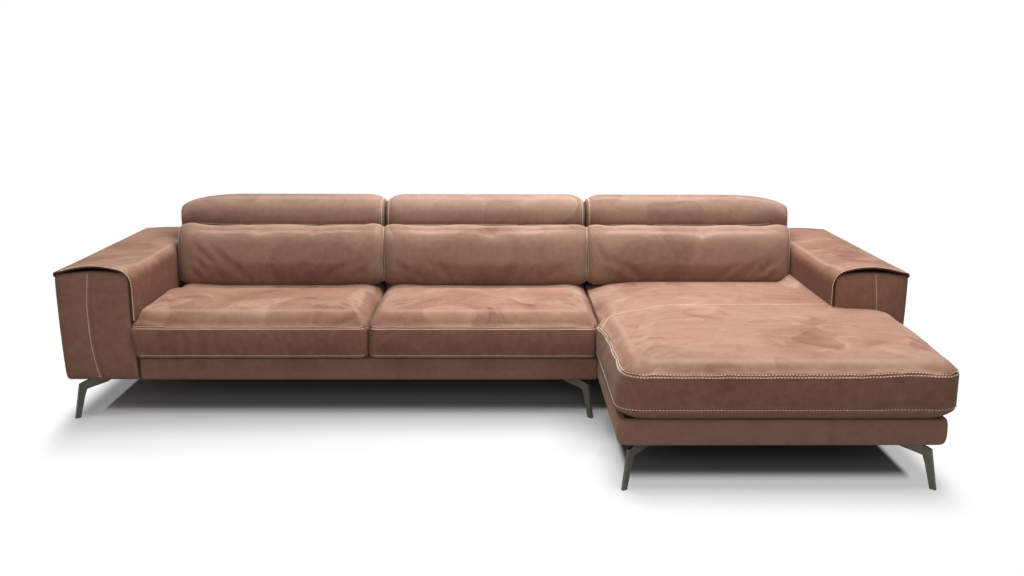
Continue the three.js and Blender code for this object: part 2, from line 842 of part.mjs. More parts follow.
// The fixed plate: screwed to its rib, up through the back, with saw teeth round the axis
function ratchetBracket() {
  const low = frameTop - bracketDrop;
  const rootAngle = Math.asin(neckHalfWidth / eyeRadius);
  const neckLength = (frameTop - pivotZ) / Math.sin(neckAngle);
  const outline = [
    [bracketY, low], [bracketY + bracketDepth, low], [bracketY + bracketDepth, frameTop],
    beside(neckLength - padding, neckHalfWidth, neckAngle),
    polar(eyeRadius, neckAngle + rootAngle),
  ];
  const root = toothTip - toothDepth;
  outline.push(polar(root, toothStart));
  for (let tooth = 0; tooth < teeth; tooth += 1) {
    const from = toothStart + (toothEnd - toothStart) * tooth / teeth;
    const to = toothStart + (toothEnd - toothStart) * (tooth + 1) / teeth;
    outline.push(polar(toothTip, from + toothPeakShare * (to - from)));
    outline.push(polar(root, to));
  }
  for (const share of eyeStepShares) {
    const last = neckAngle - rootAngle + fullTurn;
    outline.push(polar(eyeRadius, toothEnd + share * (last - toothEnd)));
  }
  outline.push(beside(neckLength - padding, -neckHalfWidth, neckAngle), [bracketY, frameTop]);
  const shape = polygon(outline);
  shape.holes.push(roundHole(pivotY, pivotZ, pinRadius + fit, pinSides));
  for (const share of bracketScrewShares) {
    shape.holes.push(roundHole(
      bracketY + bracketDepth / 2, low + share * bracketDrop, screwHole, screwSides));
  }
  return prismX(shape, bracketX, bracketX + plate);
}

// The moving arm: an eye on the pin, a tail under the headrest board, a flange for its screws,
// and a pawl bent over the teeth, held at the tooth tips
function ratchetArm() {
  const tailTop = pivotZ - armTailDrop;
  const tailLow = tailTop - armTailHeight;
  const rear = headrestBoardRear;
  const shape = new THREE.Shape();
  shape.moveTo(rear, tailLow);
  shape.lineTo(rear, tailTop);
  const start = -Math.asin(armTailDrop / (toothTip + pawlDepth));
  shape.absarc(pivotY, pivotZ, toothTip + pawlDepth, start, pawlFrom + Math.PI / 4, false);
  shape.absarc(pivotY, pivotZ, eyeRadius, pawlFrom + Math.PI / 2, 1.5 * Math.PI, false);
  shape.lineTo(pivotY + armTailStart, tailLow);
  shape.holes.push(roundHole(pivotY, pivotZ, pinRadius + fit, pinSides));
  const side = prismX(shape, armX, armX + plate, arcSteps);
  const flange = block(armX, armX + armFlange, pivotY + armTailStart, rear,
    tailTop - armFlangeThickness, tailTop);
  const pawlInner = toothTip + pawlClear;
  const pawlOuter = toothTip + pawlDepth;
  const pawlWide = pawlFrom + (toothEnd - toothStart) / teeth;
  const pawl = polygon([
    polar(pawlInner, pawlFrom), polar(pawlOuter, pawlFrom), polar(pawlOuter, pawlWide),
    polar(pawlInner + pawlDepth / 2, pawlWide),
  ]);
  return join(side, flange, prismX(pawl, bracketX, armX + plate / 2));
}

function ratchetPin() {
  const near = bracketX - plateGap;
  const far = armX + plate + plateGap;
  const profile = [
    [0, near - pinHead], [pinHeadRadius, near - pinHead], [pinHeadRadius, near],
    [pinRadius, near], [pinRadius, far], [pinHeadRadius, far],
    [pinHeadRadius, far + pinHead], [0, far + pinHead],
  ].map(([radius, along]) => new THREE.Vector2(radius, along));
  return new THREE.LatheGeometry(profile, pinSides)
    .rotateZ(-Math.PI / 2)
    .translate(0, pivotY, pivotZ);
}

// What the ratchet needs inside the pad: a round chamber, a slit that the neck sweeps as the
// headrest tilts, and pockets for the arm and the board
function slitOutline() {
  const half = neckHalfWidth + slotClear;
  const reach = padRadius + padLift + cutOver;
  const first = neckAngle;
  const last = neckAngle - travel;
  return polygon([
    beside(0, half, first), beside(0, -half, last), beside(reach, -half, last),
    beside(reach, 0, (first + last) / 2), beside(reach, half, first),
  ]);
}

function padTools(centre, side) {
  const low = bracketX - pinHead - plateGap - slotClear;
  const high = armX + plate + pinHead + plateGap + slotClear;
  const chamber = new THREE.Shape().absarc(
    pivotY, pivotZ, toothTip + pawlDepth + pocketClear, 0, fullTurn, false);
  const tools = [
    prismX(chamber, low, high, chamberSteps),
    prismX(slitOutline(), bracketX - slotClear, bracketX + plate + slotClear),
    block(armX - fit, armX + armFlange + fit, pivotY, headrestBoardRear + fit,
      pivotZ - armTailDrop - armTailHeight - fit, headrestBoardUnder + fit),
  ];
  return tools.map((tool) => {
    const placed = side > 0 ? tool : mirrored(tool);
    return placed.translate(centre, 0, 0);
  });
}

// A geometry reflected in X, with its faces turned to point out again
function mirrored(geometry) {
  const flipped = geometry.clone().scale(-1, 1, 1);
  const source = flipped.index ? flipped.toNonIndexed() : flipped;
  const position = source.attributes.position;
  const point = [0, 1, 2].map(() => new THREE.Vector3());
  for (let index = 0; index < position.count; index += 3) {
    point.forEach((corner, offset) => corner.fromBufferAttribute(position, index + offset));
    position.setXYZ(index + 1, point[2].x, point[2].y, point[2].z);
    position.setXYZ(index + 2, point[1].x, point[1].y, point[1].z);
  }
  return source;
}

function headrestBoard() {
  const half = seatWidth / 2 - boardEndInset;
  return block(-half, half, headrestBoardFront, headrestBoardRear,
    headrestBoardUnder, headrestBoardUnder + headrestBoardThickness);
}

function boardPocket(centre) {
  const half = seatWidth / 2 - boardEndInset + fit;
  return block(centre - half, centre + half, headrestBoardFront - fit, headrestBoardRear + fit,
    headrestBoardUnder - fit, headrestBoardUnder + headrestBoardThickness + fit);
}

const legHoleShares = [0.15, 0.85];

// Leg: foot, leaning shin, knee, and a strut that runs in under the frame to its plate
function leg() {
  const top = floorGap - fit;
  const plateLow = top - legPlateThickness;
  const half = legFoot / 2;
  const kneeOuter = half - legLean;
  const kneeInner = kneeOuter - legKneeWidth;
  const strutEnd = -legStrutReach;
  const shape = new THREE.Shape();
  shape.moveTo(half, 0);
  shape.lineTo(kneeOuter, legKneeHeight);
  shape.lineTo(kneeOuter - legKneeWidth / 2, legKneeHeight + legKneeRise);
  shape.lineTo(strutEnd / 2, top);
  shape.lineTo(strutEnd, top);
  shape.lineTo(strutEnd, plateLow);
  shape.lineTo((strutEnd + kneeInner) / 2, legKneeHeight - legStrutRise);
  shape.lineTo(kneeInner, legKneeHeight - legStrutRoot);
  shape.lineTo(kneeInner + legFoot / 2, legKneeHeight - legStrutDrop);
  shape.lineTo(-half, 0);
  const blade = prismY(shape, -legThickness / 2, legThickness / 2);
  const foot = rectangle(strutEnd, strutEnd + legPlateLength, -legPlateWidth / 2,
    legPlateWidth / 2);
  for (const side of [-1, 1]) {
    for (const share of legHoleShares) {
      foot.holes.push(roundHole(
        strutEnd + share * legPlateLength, side * legPlateWidth / 3, legHole, screwSides));
    }
  }
  return join(blade, prismZ(foot, plateLow, top));
}

function joinPlate() {
  const half = joinLength / 2;
  const shape = rectangle(-half, half, -joinWidth / 2, joinWidth / 2);
  const slots = [-1, 1].map((side) => {
    const middle = side * half / 2;
    return rectangle(middle - joinSlot, middle + joinSlot, -joinSlot / 2, joinSlot / 2);
  });
  return piercedPlan(shape, slots, floorGap - fit - joinThickness, floorGap - fit);
}

// Finishes
function finish(color, roughness, metalness) {
  return () => new THREE.MeshStandardMaterial({ color, roughness, metalness });
}

const leather = finish(0x9a6a52, 0.75, 0);
const timber = finish(0xc9a878, 0.8, 0);
const elastic = finish(0x2a2826, 0.9, 0);
const cloth = finish(0x1c1b1a, 0.95, 0);
const steel = finish(0x8d8f92, 0.4, 0.9);
const bronze = finish(0x4b483d, 0.45, 0.8);

const sofa = new THREE.Group();

function add(name, geometry, material, mirror = false, parent = sofa) {
  const mesh = new THREE.Mesh(geometry, material());
  mesh.name = name;
  mesh.scale.x = mirror ? -1 : 1;
  parent.add(mesh);
  return mesh;
}

// Bases
add('base_frame_left', baseFrameLeft(), timber);
add('base_frame_chaise', baseFrameChaise(), timber);
add('base_cover_left', baseCoverLeft(), leather);
add('base_cover_chaise', baseCoverChaise(), leather);
add('dust_cloth_left', dustClothSeats(), cloth);
add('dust_cloth_chaise', dustClothChaise(), cloth);
add('seat_web_left', seatWebLeft(), elastic);
add('seat_web_chaise', seatWebChaise(), elastic);

// Arms
for (const [side, mirror] of [['left', true], ['right', false]]) {
  add(`arm_carcass_${side}`, armCarcass(), timber, mirror);
  add(`arm_panel_${side}`, armPanel(), leather, mirror);
  add(`arm_wrap_${side}`, armWrap(), leather, mirror);
}

// Backs
const seatCentres = [-seatWidth, 0, seatWidth];
const backSpans = [
  ['left', -seatHalf + fit, moduleJoint - fit / 2, seatCentres.slice(0, 2)],
  ['chaise', moduleJoint + fit / 2, seatHalf - fit, seatCentres.slice(2)],
];
for (const [name, left, right, centres] of backSpans) {
  add(`back_frame_${name}`, backFrame(left, right, centres), timber);
  add(`back_cover_${name}`, backCover(left, right, centres), leather);
  add(`back_web_${name}`, backWeb(left + fit, right - fit), elastic);
}

// Cushions
add('seat_cushion_left', seatCushion().translate(seatCentres[0], 0, 0), leather);
add('seat_cushion_middle', seatCushion().translate(seatCentres[1], 0, 0), leather);
add('chaise_cushion', chaiseCushion(), leather);

// Headrests and back cushions
['left', 'middle', 'right'].forEach((name, index) => {
  const centre = seatCentres[index];
  const isLeft = index === 0;
  const isRight = index === seatCount - 1;
  const leftEnd = centre - seatWidth / 2 - (isLeft ? padOverhang : -padGap / 2);
  const rightEnd = centre + seatWidth / 2 + (isRight ? padOverhang : -padGap / 2);
  add(`back_cushion_${name}`, backCushion().translate(centre, 0, 0), leather);
  const pad = headrestPad(leftEnd, rightEnd, isLeft, isRight);
  const tools = [...padTools(centre, 1), ...padTools(centre, -1), boardPocket(centre)];
  add(`headrest_pad_${name}`, cut(pad, ...tools), leather);
  add(`headrest_board_${name}`, headrestBoard().translate(centre, 0, 0), timber);
  for (const [side, mirror] of [['left', true], ['right', false]]) {
    const hinge = new THREE.Group();
    hinge.position.x = centre;
    sofa.add(hinge);
    add(`ratchet_bracket_${name}_${side}`, ratchetBracket(), steel, mirror, hinge);
    add(`ratchet_arm_${name}_${side}`, ratchetArm(), steel, mirror, hinge);
    add(`ratchet_pin_${name}_${side}`, ratchetPin(), steel, mirror, hinge);
  }
});

// Legs, each turned so that its foot points out of its corner
const armFootX = armOuter(floorGap) - footSide;
const rearFootY = sofaDepth - footFront;
const legPlaces = [
  ['left_front', -armFootX, footFront, -1, -1],
  ['left_rear', -armFootX, rearFootY, -1, 1],
  ['middle_front', moduleJoint - footSide, footFront, 1, -1],
  ['middle_rear', moduleJoint - footSide, rearFootY, 1, 1],
  ['chaise_front_left', moduleJoint + footSide, footFront - chaiseReach, -1, -1],
  ['chaise_front_right', chaiseRight - footSide, footFront - chaiseReach, 1, -1],
  ['chaise_rear_left', moduleJoint + footSide, rearFootY, -1, 1],
  ['right_rear', armFootX, rearFootY, 1, 1],
];
for (const [name, x, y, outX, outY] of legPlaces) {
  const mesh = add(`leg_${name}`, leg(), bronze);
  mesh.position.set(x, y, 0);
  mesh.rotation.z = Math.atan2(outY, outX);
}

for (const [name, y] of [['front', joinFrontY], ['rear', joinRearY]]) {
  add(`join_plate_${name}`, joinPlate(), steel).position.set(moduleJoint, y, 0);
}

// The origin is on the floor, in the middle of the whole sofa's plan
sofa.position.y = -(sofaDepth - chaiseReach - chaiseOverhang) / 2;

export default sofa;
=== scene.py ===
# %% [markdown]
# # A corner sofa in brushed nubuck
#
# This lesson dresses a sofa whose hard parts are already packed: timber, ratchet hinges, legs and
# plain solids for everything soft. All of it is in metres. X runs across the sofa, Y from the
# front to the back, and Z up from the floor. The camera and the light come first, then the
# finishes, then one soft piece after another, and at the end the hard parts get their finishes.

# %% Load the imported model
import json
import math

import bpy
import numpy as np
from mathutils import Matrix, Vector
from mathutils.bvhtree import BVHTree
from mathutils.kdtree import KDTree


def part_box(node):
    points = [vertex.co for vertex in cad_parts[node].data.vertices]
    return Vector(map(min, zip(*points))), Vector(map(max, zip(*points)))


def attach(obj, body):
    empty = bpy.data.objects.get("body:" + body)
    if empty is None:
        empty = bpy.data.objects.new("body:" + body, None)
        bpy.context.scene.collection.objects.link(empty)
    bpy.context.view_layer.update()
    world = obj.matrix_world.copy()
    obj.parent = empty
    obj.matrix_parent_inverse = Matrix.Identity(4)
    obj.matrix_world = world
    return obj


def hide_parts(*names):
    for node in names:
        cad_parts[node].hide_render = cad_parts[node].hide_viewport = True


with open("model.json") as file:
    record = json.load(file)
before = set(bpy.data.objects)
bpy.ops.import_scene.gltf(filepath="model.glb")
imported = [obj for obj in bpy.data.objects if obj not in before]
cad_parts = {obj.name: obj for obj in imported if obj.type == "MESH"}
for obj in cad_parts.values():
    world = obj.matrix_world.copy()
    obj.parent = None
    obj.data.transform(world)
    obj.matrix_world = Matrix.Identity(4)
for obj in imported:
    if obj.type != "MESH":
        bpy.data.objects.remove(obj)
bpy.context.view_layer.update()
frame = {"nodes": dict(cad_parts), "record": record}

scene = bpy.context.scene

# %% [markdown]
# ## Camera
#
# The photograph is taken from standing height, a little to the right of the middle, with the lens
# tipped down by about twelve degrees. The camera's own axes are written as the columns of a
# matrix, which keeps the tiny turn and roll of the real camera.

# %% Camera
camera_place = Vector((0.0525, -4.0260, 1.3256))
tip_down = 0.211
turn_right = 0.0133
tilt = 0.0039
focal_length = 38.1

level_right = Vector((math.cos(turn_right), -math.sin(turn_right), 0))
level_ahead = Vector((math.sin(turn_right), math.cos(turn_right), 0))
ahead = math.cos(tip_down) * level_ahead - math.sin(tip_down) * Vector((0, 0, 1))
upright = math.sin(tip_down) * level_ahead + math.cos(tip_down) * Vector((0, 0, 1))
camera_right = math.cos(tilt) * level_right + math.sin(tilt) * upright
camera_up = math.cos(tilt) * upright - math.sin(tilt) * level_right

camera_data = bpy.data.cameras.new("camera")
camera_data.lens = focal_length
camera_data.sensor_width = 36
camera = bpy.data.objects.new("camera", camera_data)
camera.matrix_world = Matrix.Translation(camera_place) @ Matrix(
    (camera_right, camera_up, -ahead)).transposed().to_4x4()
scene.collection.objects.link(camera)
scene.camera = camera
scene.view_settings.view_transform = "Standard"
print("camera looks down by", round(math.degrees(tip_down), 1), "degrees")

import time
clock = [time.time()]


def lap(label):
    print("LAP", label, round(time.time() - clock[0], 1))
    clock[0] = time.time()


# %% [markdown]
# ## Light
#
# A furniture studio hangs one very large soft light over the sofa. The tops of the cushions are
# then bright and the fronts fall off to a third of that. A second, weak one beside the camera
# keeps the fronts readable. Two flat area lamps do this, and the world adds a little of its own.

# %% Soft lamps


def add_softbox(name, place, aim, width, depth, power):
    data = bpy.data.lights.new(name, "AREA")
    data.shape = "RECTANGLE"
    data.size = width
    data.size_y = depth
    data.energy = power
    lamp = bpy.data.objects.new(name, data)
    lamp.location = place
    lamp.rotation_euler = (Vector(aim) - Vector(place)).to_track_quat("-Z", "Y").to_euler()
    scene.collection.objects.link(lamp)
    return lamp


add_softbox("lamp_over", (0.6, 0.15, 3.3), (0.15, 0.15, 0.4), 3.4, 2.8, 200)
add_softbox("lamp_front", (-0.6, -4.4, 1.9), (0, 0, 0.35), 4.0, 1.4, 41)

# %% [markdown]
# ## Background and floor
#
# The background is plain white, and the sofa stands in its own soft shadow, partly cast by the lamps
# and partly painted into the floor. What the camera sees of the world is white at a strength of 1,
# while the light that the world gives is weaker. The floor is a pale matt plane near the sofa, with a
# painted shadow: its colour is darker under the sofa and in a ring round the seats. Further out it
# turns into plain white, so that no horizon shows.

# %% World and floor


def put(tree, kind, wires=None, **settings):
    """Add a node, set its properties, and wire or set its sockets by name or number."""
    node = tree.nodes.new(kind)
    for name, value in settings.items():
        setattr(node, name, value)
    for socket, value in (wires or {}).items():
        if isinstance(value, bpy.types.NodeSocket):
            tree.links.new(value, node.inputs[socket])
        else:
            node.inputs[socket].default_value = value
    return node


def calc(tree, operation, first, second=0.0, clamp=False):
    return put(tree, "ShaderNodeMath", {0: first, 1: second}, operation=operation,
               use_clamp=clamp).outputs[0]


def smooth(tree, value, low, high, to_low=0.0, to_high=1.0):
    """A soft step: to_low up to low, to_high from high on."""
    return put(tree, "ShaderNodeMapRange", {
        "Value": value, "From Min": low, "From Max": high, "To Min": to_low, "To Max": to_high,
    }, interpolation_type="SMOOTHSTEP").outputs[0]


def seen_by_eye_or_mirror(tree):
    path = put(tree, "ShaderNodeLightPath")
    gloss = calc(tree, "MAXIMUM", path.outputs["Is Camera Ray"], path.outputs["Is Glossy Ray"])
    return calc(tree, "MAXIMUM", gloss, path.outputs["Is Transmission Ray"])


world = bpy.data.worlds.new("studio")
world.use_nodes = True
scene.world = world
tree = world.node_tree
tree.nodes.clear()
white = put(tree, "ShaderNodeBackground", {"Color": (1, 1, 1, 1), "Strength": 1.0})
fill = put(tree, "ShaderNodeBackground", {"Color": (0.97, 0.98, 1, 1), "Strength": 0.13})
chosen = put(tree, "ShaderNodeMixShader", {
    0: seen_by_eye_or_mirror(tree), 1: fill.outputs[0], 2: white.outputs[0]})
put(tree, "ShaderNodeOutputWorld", {"Surface": chosen.outputs[0]})

bpy.ops.object.select_all(action="DESELECT")
bpy.ops.mesh.primitive_plane_add(size=60, location=(0, 0, 0))
floor = bpy.context.object
floor.name = "floor"

floor_finish = bpy.data.materials.new("floor_with_painted_shadow")
floor_finish.use_nodes = True
tree = floor_finish.node_tree
tree.nodes.clear()
place = put(tree, "ShaderNodeTexCoord").outputs["Object"]
across = put(tree, "ShaderNodeSeparateXYZ", {0: place})


def outside(low_x, high_x, low_y, high_y, side=1.0):
    """How far a place on the floor lies outside a rectangle, with the gaps in X times side."""
    gaps = []
    for axis, low, high, times in (("X", low_x, high_x, side), ("Y", low_y, high_y, 1.0)):
        gap = calc(tree, "MAXIMUM", calc(tree, "SUBTRACT", low, across.outputs[axis]),
                   calc(tree, "SUBTRACT", across.outputs[axis], high))
        gaps.append(calc(tree, "MULTIPLY", calc(tree, "MAXIMUM", gap, 0.0), times))
    squares = [calc(tree, "MULTIPLY", gap, gap) for gap in gaps]
    return calc(tree, "SQRT", calc(tree, "ADD", *squares))


from_seats = outside(-1.44, 1.44, -0.02, 0.80, 4.5)
from_chaise = outside(0.49, 1.37, -0.69, 0.0, 3.5)
# far is the share of plain white glow that the camera sees. Just outside the seats it is already 0.2, and
# just outside the chaise 0.44. This is painted light that lifts the edge of their shadow. Further out the
# floor is all white.
far = calc(
    tree, "MINIMUM",
    calc(tree, "ADD", smooth(tree, from_seats, 0.0, 0.07, 0.0, 0.2),
         smooth(tree, from_seats, 0.25, 0.72, 0.0, 0.8)),
    calc(tree, "ADD", smooth(tree, from_chaise, 0.0, 0.10, 0.0, 0.44),
         smooth(tree, from_chaise, 0.22, 0.60, 0.0, 0.56)))
# Painted shadow under the sofa: the floor's colour is 0.50 under the seats and 0.32 under the chaise,
# against 0.93 elsewhere.
under = calc(tree, "MINIMUM",
             smooth(tree, outside(-1.46, 1.46, 0.03, 0.80), 0.0, 0.08, 0.50, 0.93),
             smooth(tree, outside(0.49, 1.38, -0.67, 0.1), 0.0, 0.06, 0.32, 0.93))
# Painted shadow in a ring round the seats: the colour falls to 0.72 between about 0.22 and 0.45 m out.
ring = calc(tree, "MAXIMUM", smooth(tree, from_seats, 0.05, 0.22, 1.0, 0.72),
            smooth(tree, from_seats, 0.45, 0.65, 0.72, 1.0))
bounce = put(tree, "ShaderNodeLightPath").outputs["Is Diffuse Ray"]
pale = calc(tree, "MULTIPLY", calc(tree, "MULTIPLY", under, ring),
            calc(tree, "SUBTRACT", 1.0, calc(tree, "MULTIPLY", bounce, 0.65)))
tone = put(tree, "ShaderNodeCombineColor", {0: pale, 1: pale, 2: pale})
paint = put(tree, "ShaderNodeBsdfDiffuse", {"Color": tone.outputs[0]})
glow = put(tree, "ShaderNodeEmission", {"Color": (1, 1, 1, 1), "Strength": 1.0})
share = calc(tree, "MULTIPLY", far, seen_by_eye_or_mirror(tree))
mix = put(tree, "ShaderNodeMixShader", {0: share, 1: paint.outputs[0], 2: glow.outputs[0]})
put(tree, "ShaderNodeOutputMaterial", {"Surface": mix.outputs[0]})
floor.data.materials.append(floor_finish)
print("floor", floor.name)

# %% [markdown]
# ## Effects that several finishes share
#
# Nubuck is leather whose grain side is brushed to a short nap. A hand that passes over it lays the
# nap one way or the other, and leaves paler and darker arcs and patches, mostly on the tops. Under
# them are fine pores. Both effects are node groups, because the leather, its worn edges and the
# hems use them with other values. The group of brush marks also paints light into the colour. Its
# painted shade makes upright faces darker than flat ones, and its painted sheen is a pale band
# where a top bends over at its edges. A group gives out only colours, masks, values and heights.

# %% A helper that starts a group


def start_group(name, inputs, outputs):
    """inputs are (name, value) pairs: a number, a colour of four or a vector of three."""
    kinds = {1: "NodeSocketFloat", 3: "NodeSocketVector", 4: "NodeSocketColor"}
    made = bpy.data.node_groups.new(name, "ShaderNodeTree")
    for label, value in inputs:
        count = len(value) if isinstance(value, tuple) else 1
        socket = made.interface.new_socket(label, in_out="INPUT", socket_type=kinds[count])
        socket.default_value = value
    for label, count in outputs:
        made.interface.new_socket(label, in_out="OUTPUT", socket_type=kinds[count])
    return made, made.nodes.new("NodeGroupInput").outputs, made.nodes.new("NodeGroupOutput")


def finish_group(made, result, **wires):
    for label, socket in wires.items():
        made.links.new(socket, result.inputs[label])
    print("group", made.name)


# %% Brush marks in the nap, with painted shade on upright faces and a painted sheen band
nap, given, result = start_group(
    "nap_marks_and_painted_light",
    [("Place", (0.0, 0.0, 0.0)), ("Swirl", 0.5), ("Streak", 0.5), ("Side share", 0.3),
     ("Upright", 0.2), ("Flat", 0.5)],
    [("Tone", 1), ("Brow", 1)])
warp = put(nap, "ShaderNodeTexNoise", {"Vector": given["Place"], "Scale": 3.0, "Detail": 1.0})
warp_centre = put(nap, "ShaderNodeVectorMath", {0: warp.outputs["Color"], 1: (0.5, 0.5, 0.5)},
                  operation="SUBTRACT")
warp_size = put(nap, "ShaderNodeVectorMath", {0: warp_centre.outputs[0], "Scale": 0.34},
                operation="SCALE")
warped = put(nap, "ShaderNodeVectorMath", {0: given["Place"], 1: warp_size.outputs[0]},
             operation="ADD").outputs[0]


def hand_strokes(scale, width):
    """Rings round scattered points, cut to arcs: sharp on the outer side and soft within."""
    cells = put(nap, "ShaderNodeTexVoronoi", {
        "Vector": warped, "Scale": scale, "Randomness": 0.9}, feature="F1")
    ring = calc(nap, "MULTIPLY", smooth(nap, cells.outputs["Distance"], 0.40 - width, 0.40),
                smooth(nap, cells.outputs["Distance"], 0.405, 0.425, 1.0, 0.0))
    sign = put(nap, "ShaderNodeSeparateColor", {0: cells.outputs["Color"]})
    way = calc(nap, "SUBTRACT", smooth(nap, sign.outputs[0], 0.35, 0.65, 0.0, 2.0), 1.0)
    gate = put(nap, "ShaderNodeTexNoise", {"Vector": warped, "Scale": 1.7 * scale, "Detail": 0.0})
    arc = calc(nap, "MULTIPLY", ring, smooth(nap, gate.outputs["Fac"], 0.44, 0.54))
    return calc(nap, "MULTIPLY", arc, way)


arcs = calc(nap, "ADD", hand_strokes(2.7, 0.32), calc(
    nap, "MULTIPLY", hand_strokes(5.6, 0.24), 0.7))
fields = put(nap, "ShaderNodeTexNoise", {
    "Vector": warped, "Scale": 1.9, "Detail": 2.0, "Roughness": 0.45, "Distortion": 0.7})
brushing = put(nap, "ShaderNodeTexNoise", {
    "Vector": warped, "Scale": 12.0, "Detail": 4.0, "Roughness": 0.55, "Distortion": 0.8})
arcs = calc(nap, "ADD", arcs, calc(
    nap, "MULTIPLY", calc(nap, "SUBTRACT", brushing.outputs["Fac"], 0.5), 1.3))
field_tone = calc(nap, "SUBTRACT", smooth(nap, fields.outputs["Fac"], 0.38, 0.56), 0.6)
patches = calc(nap, "ADD", calc(nap, "MULTIPLY", arcs, 0.70),
               calc(nap, "MULTIPLY", field_tone, 0.62))
stretch = put(nap, "ShaderNodeMapping", {
    "Vector": warped, "Rotation": (0, 0, 0.7), "Scale": (7.0, 21.0, 9.0)})
streaks = put(nap, "ShaderNodeTexNoise", {
    "Vector": stretch.outputs[0], "Scale": 1.0, "Detail": 4.0, "Roughness": 0.6})
streak_tone = calc(nap, "SUBTRACT", smooth(nap, streaks.outputs["Fac"], 0.36, 0.66), 0.5)
mottle = put(nap, "ShaderNodeTexNoise", {
    "Vector": given["Place"], "Scale": 46.0, "Detail": 6.0, "Roughness": 0.62})
facing = put(nap, "ShaderNodeSeparateXYZ", {
    0: put(nap, "ShaderNodeNewGeometry").outputs["Normal"]}).outputs["Z"]
upward = calc(nap, "MAXIMUM", smooth(nap, facing, 0.25, 0.9), given["Side share"])
both = calc(nap, "ADD", calc(nap, "MULTIPLY", patches, given["Swirl"]),
            calc(nap, "MULTIPLY", streak_tone, given["Streak"]))
# Painted shade: the tone goes from Upright on upright faces to Flat on flat ones, so upright faces are
# darker, as they are under light from above.
painted_facing_shade = smooth(nap, facing, 0.20, 0.97, given["Upright"], given["Flat"])
# Painted sheen: a pale band where the surface bends over at the edge of a top, on faces between nearly
# flat and steeper.
highlight_band = calc(nap, "MULTIPLY", smooth(nap, facing, 0.80, 0.93),
            smooth(nap, facing, 0.95, 0.992, 1.0, 0.0))
tone = calc(nap, "ADD", calc(nap, "MULTIPLY", both, upward), painted_facing_shade)
speckle = calc(nap, "MULTIPLY", calc(nap, "SUBTRACT", mottle.outputs["Fac"], 0.5), 0.42)
finish_group(nap, result, Tone=calc(nap, "ADD", tone, speckle, clamp=True), Brow=highlight_band)

# %% Pores and soft creases, as a height in metres
skin, given, result = start_group(
    "pore_relief", [("Place", (0.0, 0.0, 0.0)), ("Pores", 1.0), ("Creases", 1.0)],
    [("Height", 1)])
pores = put(skin, "ShaderNodeTexVoronoi", {
    "Vector": given["Place"], "Scale": 620.0, "Randomness": 1.0}, feature="DISTANCE_TO_EDGE")
grain = put(skin, "ShaderNodeTexNoise", {
    "Vector": given["Place"], "Scale": 240.0, "Detail": 4.0, "Roughness": 0.6})
folds = put(skin, "ShaderNodeTexNoise", {
    "Vector": given["Place"], "Scale": 17.0, "Detail": 4.0, "Roughness": 0.5,
    "Distortion": 0.6})
pore_height = calc(skin, "MULTIPLY", smooth(skin, pores.outputs[0], 0.0, 0.16), 0.00016)
grain_height = calc(skin, "MULTIPLY", grain.outputs["Fac"], 0.00022)
fine = calc(skin, "MULTIPLY", calc(skin, "ADD", pore_height, grain_height), given["Pores"])
wide = calc(skin, "MULTIPLY", calc(skin, "MULTIPLY", folds.outputs["Fac"], 0.0028),
            given["Creases"])
finish_group(skin, result, Height=calc(skin, "ADD", fine, wide))

# %% Wear: a mask that is strong where the mesh says that an edge is rubbed
rub, given, result = start_group(
    "rubbed_edge", [("Place", (0.0, 0.0, 0.0)), ("Amount", 1.0), ("Break-up", 60.0)],
    [("Mask", 1)])
rubbed = put(rub, "ShaderNodeAttribute", attribute_name="rubbed").outputs["Fac"]
break_up = put(rub, "ShaderNodeTexNoise", {
    "Vector": given["Place"], "Scale": given["Break-up"], "Detail": 4.0})
patchy = calc(rub, "MULTIPLY", rubbed, smooth(rub, break_up.outputs["Fac"], 0.35, 0.65, 0.35))
finish_group(rub, result, Mask=calc(rub, "MULTIPLY", patchy, given["Amount"], clamp=True))

# %% [markdown]
# ## Finishes
#
# Each finish is one material: a Principled shader whose fixed values stand on its own sockets,
# with a colour, a roughness and a bump that come from the groups. Nubuck is matt and has a soft
# sheen at grazing angles. The thread is waxed and pale. The timber is raw, the hinges are zinc
# plated, and the legs have a dark bronze coat.

# %% A helper that starts a finish


def start_finish(name, **sockets):
    made = bpy.data.materials.new(name)
    made.use_nodes = True
    tree = made.node_tree
    shader = tree.nodes["Principled BSDF"]
    for label, value in sockets.items():
        shader.inputs[label.replace("_", " ")].default_value = value
    place = put(tree, "ShaderNodeTexCoord").outputs["Object"]
    return made, tree, shader, place


def use_group(tree, group, **wires):
    node = put(tree, "ShaderNodeGroup", node_tree=group)
    for label, value in wires.items():
        socket = node.inputs[label.replace("_", " ")]
        if isinstance(value, bpy.types.NodeSocket):
            tree.links.new(value, socket)
        else:
            socket.default_value = value
    return node


def mix_colour(tree, share, first, second):
    return put(tree, "ShaderNodeMix", {"Factor": share, "A": first, "B": second},
               data_type="RGBA").outputs["Result"]


def add_bump(tree, shader, height, strength=1.0):
    bump = put(tree, "ShaderNodeBump", {"Height": height, "Distance": 1.0, "Strength": strength})
    tree.links.new(bump.outputs[0], shader.inputs["Normal"])


def wire(tree, shader, **sockets):
    for label, value in sockets.items():
        tree.links.new(value, shader.inputs[label.replace("_", " ")])


# %% Nubuck


